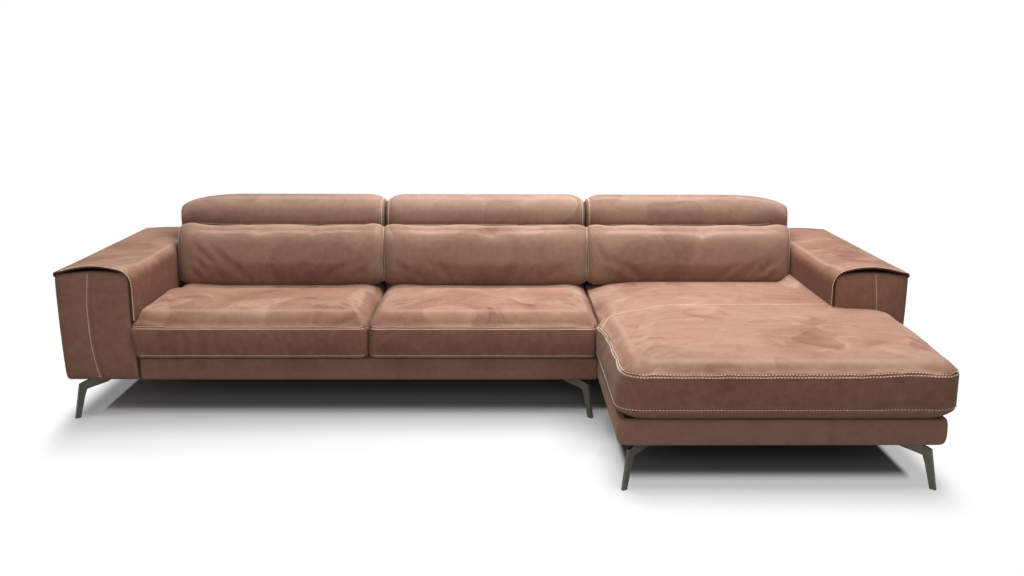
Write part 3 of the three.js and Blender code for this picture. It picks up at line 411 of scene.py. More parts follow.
def make_nubuck(name, dark, pale, swirl, side_share, upright, flat, sheen=0.10):
    made, tree, shader, place = start_finish(
        name, Specular_IOR_Level=0.25, Sheen_Weight=sheen, Sheen_Roughness=0.34,
        Sheen_Tint=(1.0, 0.93, 0.87, 1))
    # Upright and Flat are the tones of upright and flat faces, a painted shade.
    marks = use_group(tree, nap, Place=place, Swirl=swirl, Streak=0.13, Side_share=side_share,
                      Upright=upright, Flat=flat)
    relief = use_group(tree, skin, Place=place, Creases=0.45)
    edge = use_group(tree, rub, Place=place, Amount=0.32)
    tone = marks.outputs["Tone"]
    # Painted sheen: up to 0.30 of the pale nubuck_sheen colour is mixed in along the highlight band.
    nap_colour_with_painted_light = mix_colour(tree, calc(tree, "MULTIPLY", marks.outputs["Brow"], 0.30),
                         mix_colour(tree, tone, dark, pale), nubuck_sheen)
    wire(tree, shader, Base_Color=mix_colour(tree, edge.outputs["Mask"], nap_colour_with_painted_light, nubuck_worn),
         Roughness=smooth(tree, tone, 0.0, 1.0, 0.88, 0.66))
    add_bump(tree, shader, relief.outputs["Height"])
    return made


# The five nubuck finishes are copies of one leather whose tones differ as painted light. Upright sets how
# dark upright faces are. The wraps are darkest (0), the seats next (0.20), the covers paler (0.34) and the
# base palest (0.45). This is painted shade and painted light on faces that the lamps light differently.
# The wraps' dark colour is deeper and redder, as painted shade on their inner sides. The backs' colours
# are paler and greyer, as a painted sheen.
nubuck_dark = (0.190, 0.077, 0.047, 1)
nubuck_sheen = (0.47, 0.335, 0.265, 1)
nubuck_pale = (0.430, 0.250, 0.172, 1)
wrap_dark_painted_shade = (0.145, 0.055, 0.032, 1)
nubuck_worn = (0.45, 0.27, 0.185, 1)
back_dark_painted_sheen = (0.185, 0.096, 0.066, 1)
back_pale_painted_sheen = (0.445, 0.285, 0.207, 1)
nubuck_seat = make_nubuck("nubuck_seat", nubuck_dark, nubuck_pale, 0.42, 0.30, 0.20, 0.52)
nubuck_back = make_nubuck("nubuck_back", back_dark_painted_sheen, back_pale_painted_sheen, 0.28, 0.50, 0.30, 0.50)
nubuck_wrap = make_nubuck("nubuck_wrap", wrap_dark_painted_shade, nubuck_pale, 0.26, 0.45, 0.0, 0.51, 0.05)
nubuck_base = make_nubuck("nubuck_base", nubuck_dark, nubuck_pale, 0.24, 0.45, 0.45, 0.50)
nubuck_cover = make_nubuck("nubuck_cover", nubuck_dark, nubuck_pale, 0.24, 0.45, 0.34, 0.50)

# %% Thread
thread_finish, tree, shader, place = start_finish(
    "waxed_thread", Specular_IOR_Level=0.4, Roughness=0.55)
twist = put(tree, "ShaderNodeTexWave", {"Vector": place, "Scale": 900.0, "Distortion": 1.5},
            bands_direction="DIAGONAL")
soil = put(tree, "ShaderNodeTexNoise", {"Vector": place, "Scale": 30.0, "Detail": 3.0})
wire(tree, shader, Base_Color=mix_colour(
    tree, soil.outputs["Fac"], (0.74, 0.60, 0.45, 1), (0.95, 0.86, 0.72, 1)))
add_bump(tree, shader, calc(tree, "MULTIPLY", twist.outputs["Fac"], 0.0002))

# %% Timber
timber_finish, tree, shader, place = start_finish("raw_timber", Specular_IOR_Level=0.3)
along = put(tree, "ShaderNodeMapping", {"Vector": place, "Scale": (2.0, 30.0, 30.0)})
rings = put(tree, "ShaderNodeTexNoise", {
    "Vector": along.outputs[0], "Scale": 2.2, "Detail": 6.0, "Distortion": 0.8})
fibre = put(tree, "ShaderNodeTexNoise", {"Vector": along.outputs[0], "Scale": 22.0, "Detail": 3.0})
wire(tree, shader,
     Base_Color=mix_colour(tree, smooth(tree, rings.outputs["Fac"], 0.35, 0.65),
                           (0.62, 0.44, 0.25, 1), (0.42, 0.26, 0.13, 1)),
     Roughness=smooth(tree, fibre.outputs["Fac"], 0.3, 0.7, 0.6, 0.85))
add_bump(tree, shader, calc(tree, "MULTIPLY", fibre.outputs["Fac"], 0.0004))

# %% Webbing and the dust cloth: threads over and under


def make_woven(name, dark, pale, threads):
    made, tree, shader, place = start_finish(name, Roughness=0.9, Specular_IOR_Level=0.2)
    warp_way = put(tree, "ShaderNodeTexWave", {"Vector": place, "Scale": threads},
                   bands_direction="X")
    weft_way = put(tree, "ShaderNodeTexWave", {"Vector": place, "Scale": threads},
                   bands_direction="Y")
    over = calc(tree, "MULTIPLY", warp_way.outputs["Fac"], weft_way.outputs["Fac"])
    dust = put(tree, "ShaderNodeTexNoise", {"Vector": place, "Scale": 25.0, "Detail": 5.0})
    light = calc(tree, "MULTIPLY", over, dust.outputs["Fac"])
    wire(tree, shader, Base_Color=mix_colour(tree, light, dark, pale))
    add_bump(tree, shader, calc(tree, "MULTIPLY", over, 0.0006))
    return made


webbing_finish = make_woven("elastic_webbing", (0.012, 0.011, 0.010, 1), (0.09, 0.08, 0.07, 1), 160.0)
cloth_finish = make_woven("dust_cloth", (0.010, 0.010, 0.010, 1), (0.06, 0.06, 0.058, 1), 420.0)

# %% Metal


def make_metal(name, dark, pale, low, high, metallic, brushing):
    made, tree, shader, place = start_finish(name, Metallic=metallic)
    drawn = put(tree, "ShaderNodeMapping", {"Vector": place, "Scale": brushing})
    lines = put(tree, "ShaderNodeTexNoise", {
        "Vector": drawn.outputs[0], "Scale": 9.0, "Detail": 5.0})
    cloud = put(tree, "ShaderNodeTexNoise", {"Vector": place, "Scale": 34.0, "Detail": 4.0})
    wire(tree, shader, Base_Color=mix_colour(tree, cloud.outputs["Fac"], dark, pale),
         Roughness=smooth(tree, lines.outputs["Fac"], 0.3, 0.7, low, high))
    add_bump(tree, shader, calc(tree, "MULTIPLY", lines.outputs["Fac"], 0.00012))
    return made


steel_finish = make_metal(
    "zinc_steel", (0.38, 0.39, 0.40, 1), (0.60, 0.61, 0.62, 1), 0.28, 0.48, 1.0, (3, 40, 40))
bronze_finish = make_metal(
    "bronze_coat", (0.068, 0.062, 0.047, 1), (0.155, 0.144, 0.112, 1), 0.34, 0.5, 0.75, (40, 40, 4))
print("finishes", [m.name for m in bpy.data.materials])

# %% [markdown]
# ## Soft solids from a grid
#
# A sewn cushion is a box of panels. It is started as a flat grid, the part of the grid that the
# cushion doesn't cover is deleted, and the rest is extruded down and cut into rows. Each vertex
# remembers its row in each direction. A mould then moves the rows to where the foam puts them, with
# narrow rows along the seams, so that the seams can be pressed in crisply.

# %% Rows and grids


def rows(length, first=0.0035, step=0.011, grow=1.4):
    """Distances from 0 to length: narrow rows at both ends, which widen towards the middle."""
    gaps = [first]
    while gaps[-1] * grow < step:
        gaps.append(gaps[-1] * grow)
    rest = length - 2 * sum(gaps)
    count = max(round(rest / step), 1)
    return np.cumsum([0] + gaps + [rest / count] * count + gaps[::-1])


def grid_solid(name, count_x, count_y, count_z, missing=None):
    """A closed grid solid, and the row numbers of its vertices in X, Y and Z."""
    bpy.ops.object.select_all(action="DESELECT")
    bpy.ops.mesh.primitive_grid_add(
        x_subdivisions=count_x, y_subdivisions=count_y, size=1, calc_uvs=False,
        location=(0.5, 0.5, 1))
    piece = bpy.context.object
    piece.name = name
    piece.data.transform(piece.matrix_world)
    piece.matrix_world = Matrix.Identity(4)
    bpy.ops.object.mode_set(mode="EDIT")
    if missing:
        bpy.ops.mesh.select_all(action="DESELECT")
        bpy.ops.object.mode_set(mode="OBJECT")
        for face in piece.data.polygons:
            face.select = missing(face.center.x * count_x, face.center.y * count_y)
        bpy.ops.object.mode_set(mode="EDIT")
        bpy.ops.mesh.select_mode(type="FACE")
        bpy.ops.mesh.delete(type="FACE")
        bpy.ops.mesh.select_mode(type="VERT")
    bpy.ops.mesh.select_all(action="SELECT")
    bpy.ops.mesh.extrude_region_move(TRANSFORM_OT_translate={"value": (0, 0, -1)})
    bpy.ops.mesh.select_mode(type="EDGE")
    bpy.ops.mesh.select_all(action="DESELECT")
    bpy.ops.object.mode_set(mode="OBJECT")
    upright_edges = [abs(a.co.z - b.co.z) > 0.5 for a, b in (
        [piece.data.vertices[i] for i in edge.vertices] for edge in piece.data.edges)]
    piece.data.edges.foreach_set("select", upright_edges)
    bpy.ops.object.mode_set(mode="EDIT")
    bpy.ops.mesh.subdivide(number_cuts=count_z - 1)
    bpy.ops.mesh.select_all(action="SELECT")
    bpy.ops.mesh.normals_make_consistent(inside=False)
    bpy.ops.mesh.select_mode(type="VERT")
    bpy.ops.object.mode_set(mode="OBJECT")
    number = np.rint(get_points(piece) * (count_x, count_y, count_z)).astype(int)
    return piece, number


def get_points(piece):
    flat = np.empty(len(piece.data.vertices) * 3)
    piece.data.vertices.foreach_get("co", flat)
    return flat.reshape(-1, 3)


def set_points(piece, points):
    piece.data.vertices.foreach_set("co", np.ascontiguousarray(points, dtype=float).ravel())
    piece.data.update()


def roll(distance, reach, fullness=2.0, power=1.0):
    """0 at a seam, 1 from reach on. A fullness of 2 rises in a curve, a power over 1 is rounder."""
    share = np.clip(distance / reach, 0, 1)
    return (1 - (1 - share) ** fullness) ** (1 / power)


def ease(value, low, high):
    share = np.clip((value - low) / (high - low), 0, 1)
    return share * share * (3 - 2 * share)


# %% [markdown]
# ## Seat cushions
#
# The two seat cushions are blocks of foam in a sewn cover: a top panel that falls over a wide
# front roll to a double-stitched seam, a front band under it, and a lower seam where the cover
# turns in to the rail. The sides press against their neighbours, and the rear sinks under the
# back cushion.

# %% Mould the seat cushions
seat_band_low = 0.009
seat_band_high = 0.119
seat_tuck = 0.016
seat_rise = 0.064
seat_front_reach = 0.092
seat_side_reach = 0.05
seat_arm_reach = 0.013
seat_arm_front = 0.040
seat_corner = 0.026
sink_depth = 0.036
sink_start = 0.34
sink_end = 0.50
lip_reach = 0.025
shoulder_fullness = 3.0
arm_front_y = -0.170
soft_rows = {}


def make_seat(name, node, beside_arm=False):
    """The side beside the arm spreads in front of it as a thin lip."""
    low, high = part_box(node)
    front = low.y + 0.004
    width, depth = high.x - low.x, high.y - front
    across, back = rows(width), rows(depth)
    up = np.concatenate([[0, seat_band_low / 2], seat_band_low + rows(
        seat_band_high - seat_band_low, step=0.012)])
    piece, number = grid_solid(name, len(across) - 1, len(back) - 1, len(up) - 1)
    x, y, z = across[number[:, 0]], back[number[:, 1]], up[number[:, 2]]
    top = number[:, 2] == len(up) - 1
    side = np.minimum(x, width - x)
    corner_reach = np.where(beside_arm & (x < width / 2), 0.009, seat_corner)
    corner = corner_reach * (1 - roll(side, corner_reach, power=2.0))
    side_reach = np.where(beside_arm & (x < width / 2), seat_arm_reach, seat_side_reach)
    front_reach = np.where(beside_arm, seat_arm_front + (
        seat_front_reach - seat_arm_front) * ease(x, 0.0, 0.14), seat_front_reach)
    rise = roll(y, front_reach, shoulder_fullness) * roll(side, side_reach, 2.0, 1.6)
    rise *= 1 - sink_depth / seat_rise * ease(y, sink_start, sink_end) * (
        0.72 + 0.28 * ease(side, 0.02, 0.2))
    tuck = seat_tuck * (1 - np.clip(z / seat_band_low, 0, 1)) ** 2
    place_y = front + corner + y * (depth - corner) / depth
    place_x = low.x + x + tuck * (1 - 2 * x / width)
    place_y += tuck * (1 - y / depth)
    band = np.clip((z - seat_band_low) / (seat_band_high - seat_band_low), 0, 1)
    place_y -= 0.004 * np.sin(math.pi * band) * (number[:, 1] == 0)
    place_z = low.z + z + np.where(top, seat_rise * rise, 0)
    if beside_arm:
        spread = lip_reach * ease(arm_front_y - 0.004 - place_y, 0, 0.003) * (0.1 + 0.9 * band)
        place_x -= spread * (1 - np.clip(x / 0.09, 0, 1)) ** 2
    set_points(piece, np.stack([place_x, place_y, place_z], 1))
    soft_rows[name] = (number, (len(across) - 1, len(back) - 1, len(up) - 1))
    return piece


seats = [make_seat("seat_pad_left", "seat_cushion_left", beside_arm=True),
         make_seat("seat_pad_middle", "seat_cushion_middle")]
print("seats", [len(p.data.vertices) for p in seats])
lap("seats")

# %% [markdown]
# ## Chaise cushion
#
# The chaise is one long cushion. Behind it is as wide as a seat, and in front of the right arm it
# widens to cover the whole chaise, so its plan is an L. A grid takes this shape without slanted
# faces: the corner behind the arm is simply deleted before the extrusion.

# %% Mould the chaise cushion
chaise_band_low = 0.033
chaise_band_high = 0.146
chaise_tuck = 0.032
chaise_rise = 0.047
chaise_front_reach = 0.095
chaise_side_reach = 0.068
chaise_corner = 0.070
chaise_shoulder = 0.075
chaise_lean = 0.017
chaise_rear_lift = 0.020
chaise_step = 0.0132
arm_face_x = 1.272
shoulder_y = arm_front_y - 0.018


def make_chaise(name, node):
    low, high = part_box(node)
    left, right = low.x + 0.002, high.x + 0.014
    front, rear = low.y, high.y
    inner_right = arm_face_x - 0.004
    first, second = rows(inner_right - left, step=chaise_step), rows(right - inner_right, step=chaise_step)
    third, fourth = rows(shoulder_y - front, step=chaise_step), rows(rear - shoulder_y, step=chaise_step)
    across = np.concatenate([left + first, inner_right + second[1:]])
    back = np.concatenate([front + third, shoulder_y + fourth[1:]])
    up = np.concatenate([[0, 0.012, 0.024], chaise_band_low + rows(
        chaise_band_high - chaise_band_low, step=chaise_step)])
    inner, corner_row = len(first) - 1, len(third) - 1
    piece, number = grid_solid(
        name, len(across) - 1, len(back) - 1, len(up) - 1,
        missing=lambda u, v: u > inner and v > corner_row)
    x, y, z = across[number[:, 0]], back[number[:, 1]], up[number[:, 2]]
    top = number[:, 2] == len(up) - 1

    # Distances from the edges of the plan
    from_left, from_front = x - left, y - front
    beside_arm = np.where(y < shoulder_y, np.hypot(inner_right - x, shoulder_y - y) * (
        x < inner_right) + (shoulder_y - y) * (x >= inner_right), np.abs(inner_right - x))
    rise = roll(from_front, chaise_front_reach, shoulder_fullness)
    rise *= roll(from_left, chaise_side_reach, 2.0, 1.15)
    toward_arm = ease(y, front - 0.10, front + 0.42)
    beside_arm = np.where(x > inner_right - 0.01, 1.6 * beside_arm + 0.004, beside_arm)
    right_reach = chaise_side_reach * (1 - 0.5 * toward_arm)
    rise *= roll(np.where(y <= shoulder_y, right - x, 1.0), right_reach, 2.0, 1.15)
    rise *= roll(beside_arm, 0.030, 2.0, 2.0)
    in_front = ease(x, inner_right - 0.06, inner_right + 0.004) * toward_arm
    lift = in_front * (chaise_rear_lift + 0.044 * (1 - ease(x, inner_right, right)))
    rise *= 1 - 0.5 * ease(y, 0.0, 0.40) - 0.3 * ease(y, sink_start, sink_end)

    # The front corners are rounded, and the middle seat leaves a little less room
    for distance in (from_left, right - x):
        corner = chaise_corner * (1 - roll(distance, chaise_corner, power=2.0))
        y = y + corner * np.clip((shoulder_y - y) / (shoulder_y - front), 0, 1)
    x = x + 0.014 * (1 - from_left / (right - left)) * ease(y, shoulder_y - 0.01, shoulder_y + 0.02)
    shoulder = chaise_shoulder * (1 - roll(shoulder_y - y, chaise_shoulder, power=2.0))
    x = x - shoulder * np.clip((x - inner_right) / (right - inner_right), 0, 1) * (y <= shoulder_y)
    band = np.clip((z - chaise_band_low) / (chaise_band_high - chaise_band_low), 0, 1)
    lean = chaise_lean * band ** 2 * (1 - np.clip(from_left / 0.25, 0, 1)) ** 2
    x = x + lean * (1 - ease(y, shoulder_y - 0.25, shoulder_y))
    tuck = chaise_tuck * (1 - np.clip(z / chaise_band_low, 0, 1)) ** 1.5
    x = x + tuck * (1 - 2 * from_left / (right - left)) * (y < shoulder_y + 0.01)
    y = y + tuck * np.clip((shoulder_y - y) / (shoulder_y - front), 0, 1)
    seam_sag = 0.014 * ease(y, -0.75, arm_front_y) * (1 - ease(from_left, 0, 0.25))
    top_z = np.where(top, (chaise_rise - lift) * rise, 0)
    z = z + (lift - seam_sag) * z / chaise_band_high
    set_points(piece, np.stack([x, y, low.z + z + top_z], 1))
    soft_rows[name] = (number, (len(across) - 1, len(back) - 1, len(up) - 1))
    return piece, inner, corner_row


chaise, chaise_inner_row, chaise_shoulder_row = make_chaise("chaise_pad", "chaise_cushion")
print("chaise", len(chaise.data.vertices))
lap("chaise")

# %% [markdown]
# ## Pieces that are long and have one section
#
# A back cushion or a headrest is a bolster: one section, drawn from the end, that runs across the
# seat and closes at both ends. The same grid solid serves, with its X rows along the bolster. The
# four sides of the section are four curves, and the ends are filled by blending between them.

# %% A section from four curves


def fill_section(s, t, front, top, rear, under):
    """Points inside four curves that meet at their corners, at shares s (front to rear) and t."""
    corner = [front(np.zeros(1))[0], rear(np.zeros(1))[0], front(np.ones(1))[0], rear(np.ones(1))[0]]
    s, t = s[:, None], t[:, None]
    blend = (1 - s) * front(t[:, 0]) + s * rear(t[:, 0]) + (1 - t) * under(s[:, 0]) + t * top(s[:, 0])
    return blend - ((1 - s) * (1 - t) * corner[0] + s * (1 - t) * corner[1]
                    + (1 - s) * t * corner[2] + s * t * corner[3])


def along_curve(points):
    """A function that gives the point at a share of the length of a line of points."""
    points = np.array(points, float)
    length = np.concatenate([[0], np.cumsum(np.linalg.norm(np.diff(points, axis=0), axis=1))])
    length /= length[-1]
    return lambda share: np.stack([np.interp(share, length, points[:, i]) for i in range(2)], 1)


def round_line(points, passes=3):
    """Cut the corners of a line of points again and again, with its ends kept."""
    points = [np.array(p, float) for p in points]
    for _ in range(passes):
        cut = [points[0]]
        for a, b in zip(points, points[1:]):
            cut += [0.75 * a + 0.25 * b, 0.25 * a + 0.75 * b]
        points = cut + [points[-1]]
    return points


# %% [markdown]
# ## Back cushions
#
# Each back cushion is a soft pillow on a foam core. It leans back, its top edge is uneven with
# plump corners, and its front and rear panels meet side panels in stitched seams. Behind, it is
# hollowed for the roll of the headrest.

# %% Mould the back cushions
hinge_y, hinge_z = 0.575, 0.660
roll_radius = 0.085
back_end_round = 0.05


def make_back(name, node):
    low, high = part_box(node)
    across = rows(high.x - low.x, step=0.011)
    piece, number = grid_solid(name, len(across) - 1, 12, 22)
    s, t = number[:, 1] / 12, number[:, 2] / 22
    y0, y1, z0, z1 = low.y + 0.027, high.y, low.z, low.z + 0.246
    hollow_z = [0.58, 0.60, 0.62]
    hollow = [(hinge_y - math.sqrt((roll_radius + 0.005) ** 2 - (hinge_z - z) ** 2), z)
              for z in hollow_z]
    front = along_curve(round_line([(y0 + 0.01, z0), (y0 - 0.022, z0 + 0.03),
                                    (y0 - 0.012, z0 + 0.13), (y0 + 0.006, z1 - 0.045),
                                    (y0 + 0.042, z1 - 0.01)]))
    rear = along_curve([(y1, z0), (y1, 0.55)] + hollow)
    top = along_curve(round_line([(y0 + 0.042, z1 - 0.01), (y0 + 0.06, z1 + 0.004),
                                  (hollow[-1][0] - 0.012, z1 + 0.002), hollow[-1]]))
    under = along_curve([(y0 + 0.01, z0), (y1, z0)])
    section = fill_section(s, t, front, top, rear, under)
    x = across[number[:, 0]]
    side = np.minimum(x, high.x - low.x - x)
    swell = roll(side, back_end_round, power=1.7)
    middle = np.array([(y0 + y1) / 2, (z0 + z1) / 2])
    shrink = np.array([0.70, 0.90])
    section = middle + (section - middle) * (shrink + (1 - shrink) * swell[:, None])
    section[:, 1] = np.maximum(section[:, 1], z0)
    section[:, 0] = np.minimum(section[:, 0], y1)
    upper = ease(section[:, 1], z0 + 0.15, z1)
    wave = 0.0016 * np.sin(x * 17 + low.x * 9) + 0.0012 * np.sin(x * 31 + low.x * 5)
    plump = 0.005 * np.exp(-((side - 0.05) / 0.035) ** 2) - 0.004
    section[:, 1] += upper * (wave + plump) * swell
    set_points(piece, np.stack([low.x + x, section[:, 0], section[:, 1]], 1))
    soft_rows[name] = (number, (len(across) - 1, 12, 22))
    return piece


sides = ("left", "middle", "right")
backs = [make_back(f"back_pillow_{side}", f"back_cushion_{side}") for side in sides]
print("backs", [len(p.data.vertices) for p in backs])
lap("backs")

# %% [markdown]
# ## Headrests
#
# A headrest is a padded board with a big roll along its front. The hinge line is the axis of the
# roll, so that the roll turns in its own space. The ends are flat panels, edged by seams that the
# photograph shows as two pale lines beside each gap. The outer ends of the row are rounded off.

# %% Mould the headrests
pad_under = 0.5553
pad_rear = 0.860
outer_round = 0.265
inner_round = 0.085
outer_inset = 0.024


def arc(radius, start, end, count=14):
    angles = np.linspace(start, end, count)
    return [(hinge_y + radius * math.cos(a), hinge_z + radius * math.sin(a)) for a in angles]


def make_headrest(name, node, left_outer, right_outer):
    low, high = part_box(node)
    across = rows(high.x - low.x, step=0.011)
    piece, number = grid_solid(name, len(across) - 1, 22, 16)
    s, t = number[:, 1] / 22, number[:, 2] / 16
    radius = roll_radius - 0.003
    low_front = arc(radius, 1.5 * math.pi, 1.38 * math.pi, 4)[::-1]
    front = along_curve(arc(radius, 1.38 * math.pi, 0.62 * math.pi, 24))
    top = along_curve(round_line(arc(radius, 0.62 * math.pi, 0.5 * math.pi, 6) + [
        (hinge_y + 0.09, hinge_z + radius - 0.004), (pad_rear - 0.09, hinge_z + radius - 0.032),
        (pad_rear - 0.02, hinge_z + 0.028), (pad_rear, hinge_z)], 2))
    rear = along_curve(round_line([(pad_rear - 0.035, pad_under), (pad_rear, pad_under),
                                   (pad_rear, pad_under + 0.05), (pad_rear, hinge_z)], 2))
    under = along_curve(low_front + [(hinge_y + 0.02, pad_under), (pad_rear - 0.035, pad_under)])
    section = fill_section(s, t, front, top, rear, under)
    x = across[number[:, 0]]
    scale = np.ones(len(x))
    for distance, outer in ((x, left_outer), (high.x - low.x - x, right_outer)):
        reach = outer_round if outer else inner_round
        least = 0.28 if outer else 0.64
        scale = np.minimum(scale, least + (1 - least) * roll(distance, reach, power=2.0))
    ends = (number[:, 0] == 0) | (number[:, 0] == len(across) - 1)
    offset = section - (hinge_y, hinge_z)
    offset[:, 0] *= np.maximum(scale, 0.70)
    offset[:, 1] *= np.where(offset[:, 1] > 0, scale, np.maximum(scale, 0.86))
    section = np.array([hinge_y, hinge_z]) + offset
    section[:, 1] = np.maximum(section[:, 1], pad_under)
    forward = 1 - ease(section[:, 0], hinge_y - 0.09, hinge_y + 0.05)
    inset = forward * (left_outer * outer_inset * (1 - np.clip(x / 0.25, 0, 1)) ** 2
                       - right_outer * outer_inset * (
                           1 - np.clip((high.x - low.x - x) / 0.25, 0, 1)) ** 2)
    set_points(piece, np.stack([low.x + x + inset, section[:, 0], section[:, 1]], 1))
    soft_rows[name] = (number, (len(across) - 1, 22, 16))
    return piece


headrests = [make_headrest("headrest_left", "headrest_pad_left", True, False),
             make_headrest("headrest_middle", "headrest_pad_middle", False, False),
             make_headrest("headrest_right", "headrest_pad_right", False, True)]
print("headrests", [len(p.data.vertices) for p in headrests])
lap("headrests")

# %% [markdown]
# ## Let the foam fill the covers
#
# The cover is cloth to the solver, and the foam is a pressure inside it. The seams and what the
# cushion rests on are pinned, and the leather is given a little more length than it needs, so it
# swells between the seams and puckers beside them. All covers are solved in the same frames,
# because Blender then works on them side by side. No point may move further than a cap.

# %% Cloth


def near_rows(count, *kept):
    """A mask from row numbers: true within one row of the kept ones."""
    return np.any([np.abs(count - row) < 1 for row in kept], axis=0)


def give_cloth(piece, hold, pressure, stretch):
    """hold is 1 where a point is pinned and 0 where it is free."""
    group = piece.vertex_groups.new(name="held")
    for weight in np.unique(np.round(hold, 2)):
        indices = np.nonzero(np.round(hold, 2) == weight)[0].tolist()
        group.add(indices, float(weight), "REPLACE")
    cloth = piece.modifiers.new("cover", "CLOTH")
    settings = cloth.settings
    settings.quality = 4
    settings.mass = 0.4
    settings.tension_stiffness = 18
    settings.compression_stiffness = 14
    settings.shear_stiffness = 6
    settings.bending_stiffness = 2.5
    settings.use_pressure = True
    settings.uniform_pressure_force = pressure
    settings.shrink_min = -stretch
    settings.vertex_group_mass = "held"
    settings.effector_weights.gravity = 0
    cloth.point_cache.frame_start = 1
    cloth.point_cache.frame_end = 20


def settle(pieces, caps):
    """Run all the covers together, then keep their moves up to each one's cap."""
    for number in range(1, 21):
        scene.frame_set(number)
    depsgraph = bpy.context.evaluated_depsgraph_get()
    for piece, cap in zip(pieces, caps):
        start = get_points(piece)
        solved = get_points(piece.evaluated_get(depsgraph))
        move = solved - start
        size = np.linalg.norm(move, axis=1, keepdims=True)
        limit = cap if np.ndim(cap) == 0 else cap[:, None]
        kept = move * np.minimum(1, limit / np.maximum(size, 1e-9))
        piece.modifiers.remove(piece.modifiers["cover"])
        piece.vertex_groups.clear()
        set_points(piece, start + kept)
        print(piece.name, "moved up to", round(float(size.max()) * 1000, 1), "mm")
    scene.frame_set(1)


def hold_box(piece, seams=()):
    """Pin the underside, the rear and the seam rows of a cushion."""
    number, count = soft_rows[piece.name]
    held = (number[:, 2] <= 1) | (number[:, 1] == count[1])
    for axis, row in seams:
        held |= number[:, axis] == row
    return held.astype(float)


everything, caps = [], []
for piece in seats:
    number, count = soft_rows[piece.name]
    edge = np.isin(number[:, 0], (0, count[0])) | (number[:, 1] == 0)
    held = np.maximum(hold_box(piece), (edge & (number[:, 2] == count[2])).astype(float))
    held = np.maximum(held, (number[:, 2] == 2).astype(float))
    give_cloth(piece, held, 2.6, 0.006)
    everything.append(piece)
    caps.append(0.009)
number, count = soft_rows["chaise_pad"]
edge = np.isin(number[:, 0], (0, count[0])) | (number[:, 1] == 0)
edge |= (number[:, 0] == chaise_inner_row) & (number[:, 1] >= chaise_shoulder_row)
edge |= (number[:, 1] == chaise_shoulder_row) & (number[:, 0] >= chaise_inner_row)
held = np.maximum(hold_box(chaise), (edge & (number[:, 2] == count[2])).astype(float))
held = np.maximum(held, (number[:, 2] == 3).astype(float))
give_cloth(chaise, held, 2.6, 0.004)
everything.append(chaise)
caps.append(0.008)
for piece in backs:
    number, count = soft_rows[piece.name]
    edge = np.isin(number[:, 0], (0, count[0])) & np.isin(number[:, 1], (0, count[1]))
    held = ((number[:, 2] == 0) | (number[:, 1] == count[1])).astype(float)
    held = np.maximum(held, edge * 0.8)
    give_cloth(piece, held, 2.5, 0.012)
    everything.append(piece)
    free = (get_points(piece)[:, 1] < 0.46) & (get_points(piece)[:, 2] < 0.61)
    caps.append(np.where(free, 0.012, 0.003))
for piece in headrests:
    number, count = soft_rows[piece.name]
    edge = np.isin(number[:, 0], (0, count[0]))
    held = ((number[:, 2] == 0) | edge).astype(float)
    give_cloth(piece, held, 2.0, 0.004)
    everything.append(piece)
    caps.append(0.002)
settle(everything, caps)

# %% [markdown]
# ## Seams
#
# A seam draws the leather in along a line. After the covers are solved, each is subdivided once,
# and the points near a seam are pressed in along their normals, most on the line itself. The
# stitches then lie beside it: one stitch is modelled as a short bent grain of thread and copied
# along the line, dipping into the leather at both ends.

# %% Press a line into a surface


def get_normals(piece):
    flat = np.empty(len(piece.data.vertices) * 3)
    piece.data.vertex_normals.foreach_get("vector", flat)
    return flat.reshape(-1, 3)


def dense(path, gap=0.003):
    """The same line with points every few millimetres."""
    path = np.asarray(path, float)
    length = np.concatenate([[0], np.cumsum(np.linalg.norm(np.diff(path, axis=0), axis=1))])
    count = max(int(length[-1] / gap), 2)
    places = np.linspace(0, length[-1], count)
    return np.stack([np.interp(places, length, path[:, i]) for i in range(3)], 1)


def distance_to(points, path, reach):
    """Distance of each point to the line, and the share along it. Far ones keep reach."""
    line = dense(path)
    nearest = KDTree(len(line))
    for index, point in enumerate(line):
        nearest.insert(point, index)
    nearest.balance()
    away = np.full(len(points), reach)
    share = np.zeros(len(points))
    near = np.nonzero(np.all((points > line.min(0) - reach) & (points < line.max(0) + reach), 1))[0]
    for index in near.tolist():
        _, found, gap = nearest.find(points[index])
        away[index] = gap
        share[index] = found
    return np.minimum(away, reach), share / (len(line) - 1)


def press(piece, path, depth, width, taper=0.0, lip=0.0):
    """Push the points near a line in by depth. With a lip, the leather beside it rises."""
    points, normals = get_points(piece), get_normals(piece)
    away, share = distance_to(points, path, 5 * width)
    amount = -depth * np.exp(-(away / width) ** 2)
    amount += lip * np.exp(-((away - 2.0 * width) / width) ** 2) * (away < 5 * width)
    if taper:
        amount *= ease(share, 0, taper) * (1 - ease(share, 1 - taper, 1))
    set_points(piece, points + normals * amount[:, None])


def subdivide(piece, levels=1):
    bpy.ops.object.select_all(action="DESELECT")
    piece.select_set(True)
    bpy.context.view_layer.objects.active = piece
    modifier = piece.modifiers.new("smooth", "SUBSURF")
    modifier.levels = modifier.render_levels = levels
    bpy.ops.object.modifier_apply(modifier=modifier.name)
    bpy.ops.object.shade_smooth()


def mark_rubbed(piece, paths, width=0.012):
    """Write where the edge of a seam is rubbed pale, for the wear group."""
    points = get_points(piece)
    amount = np.zeros(len(points))
    for path in paths:
        away, _ = distance_to(points, path, 4 * width)
        amount = np.maximum(amount, np.exp(-(away / width) ** 2))
    attribute = piece.data.attributes.new("rubbed", "FLOAT", "POINT")
    attribute.data.foreach_set("value", amount.astype(np.float32))


# %% One stitch, and copies of it along a line
stitch_pitch = 0.0104
stitch_length = 0.0066
stitch_thickness = 0.0031

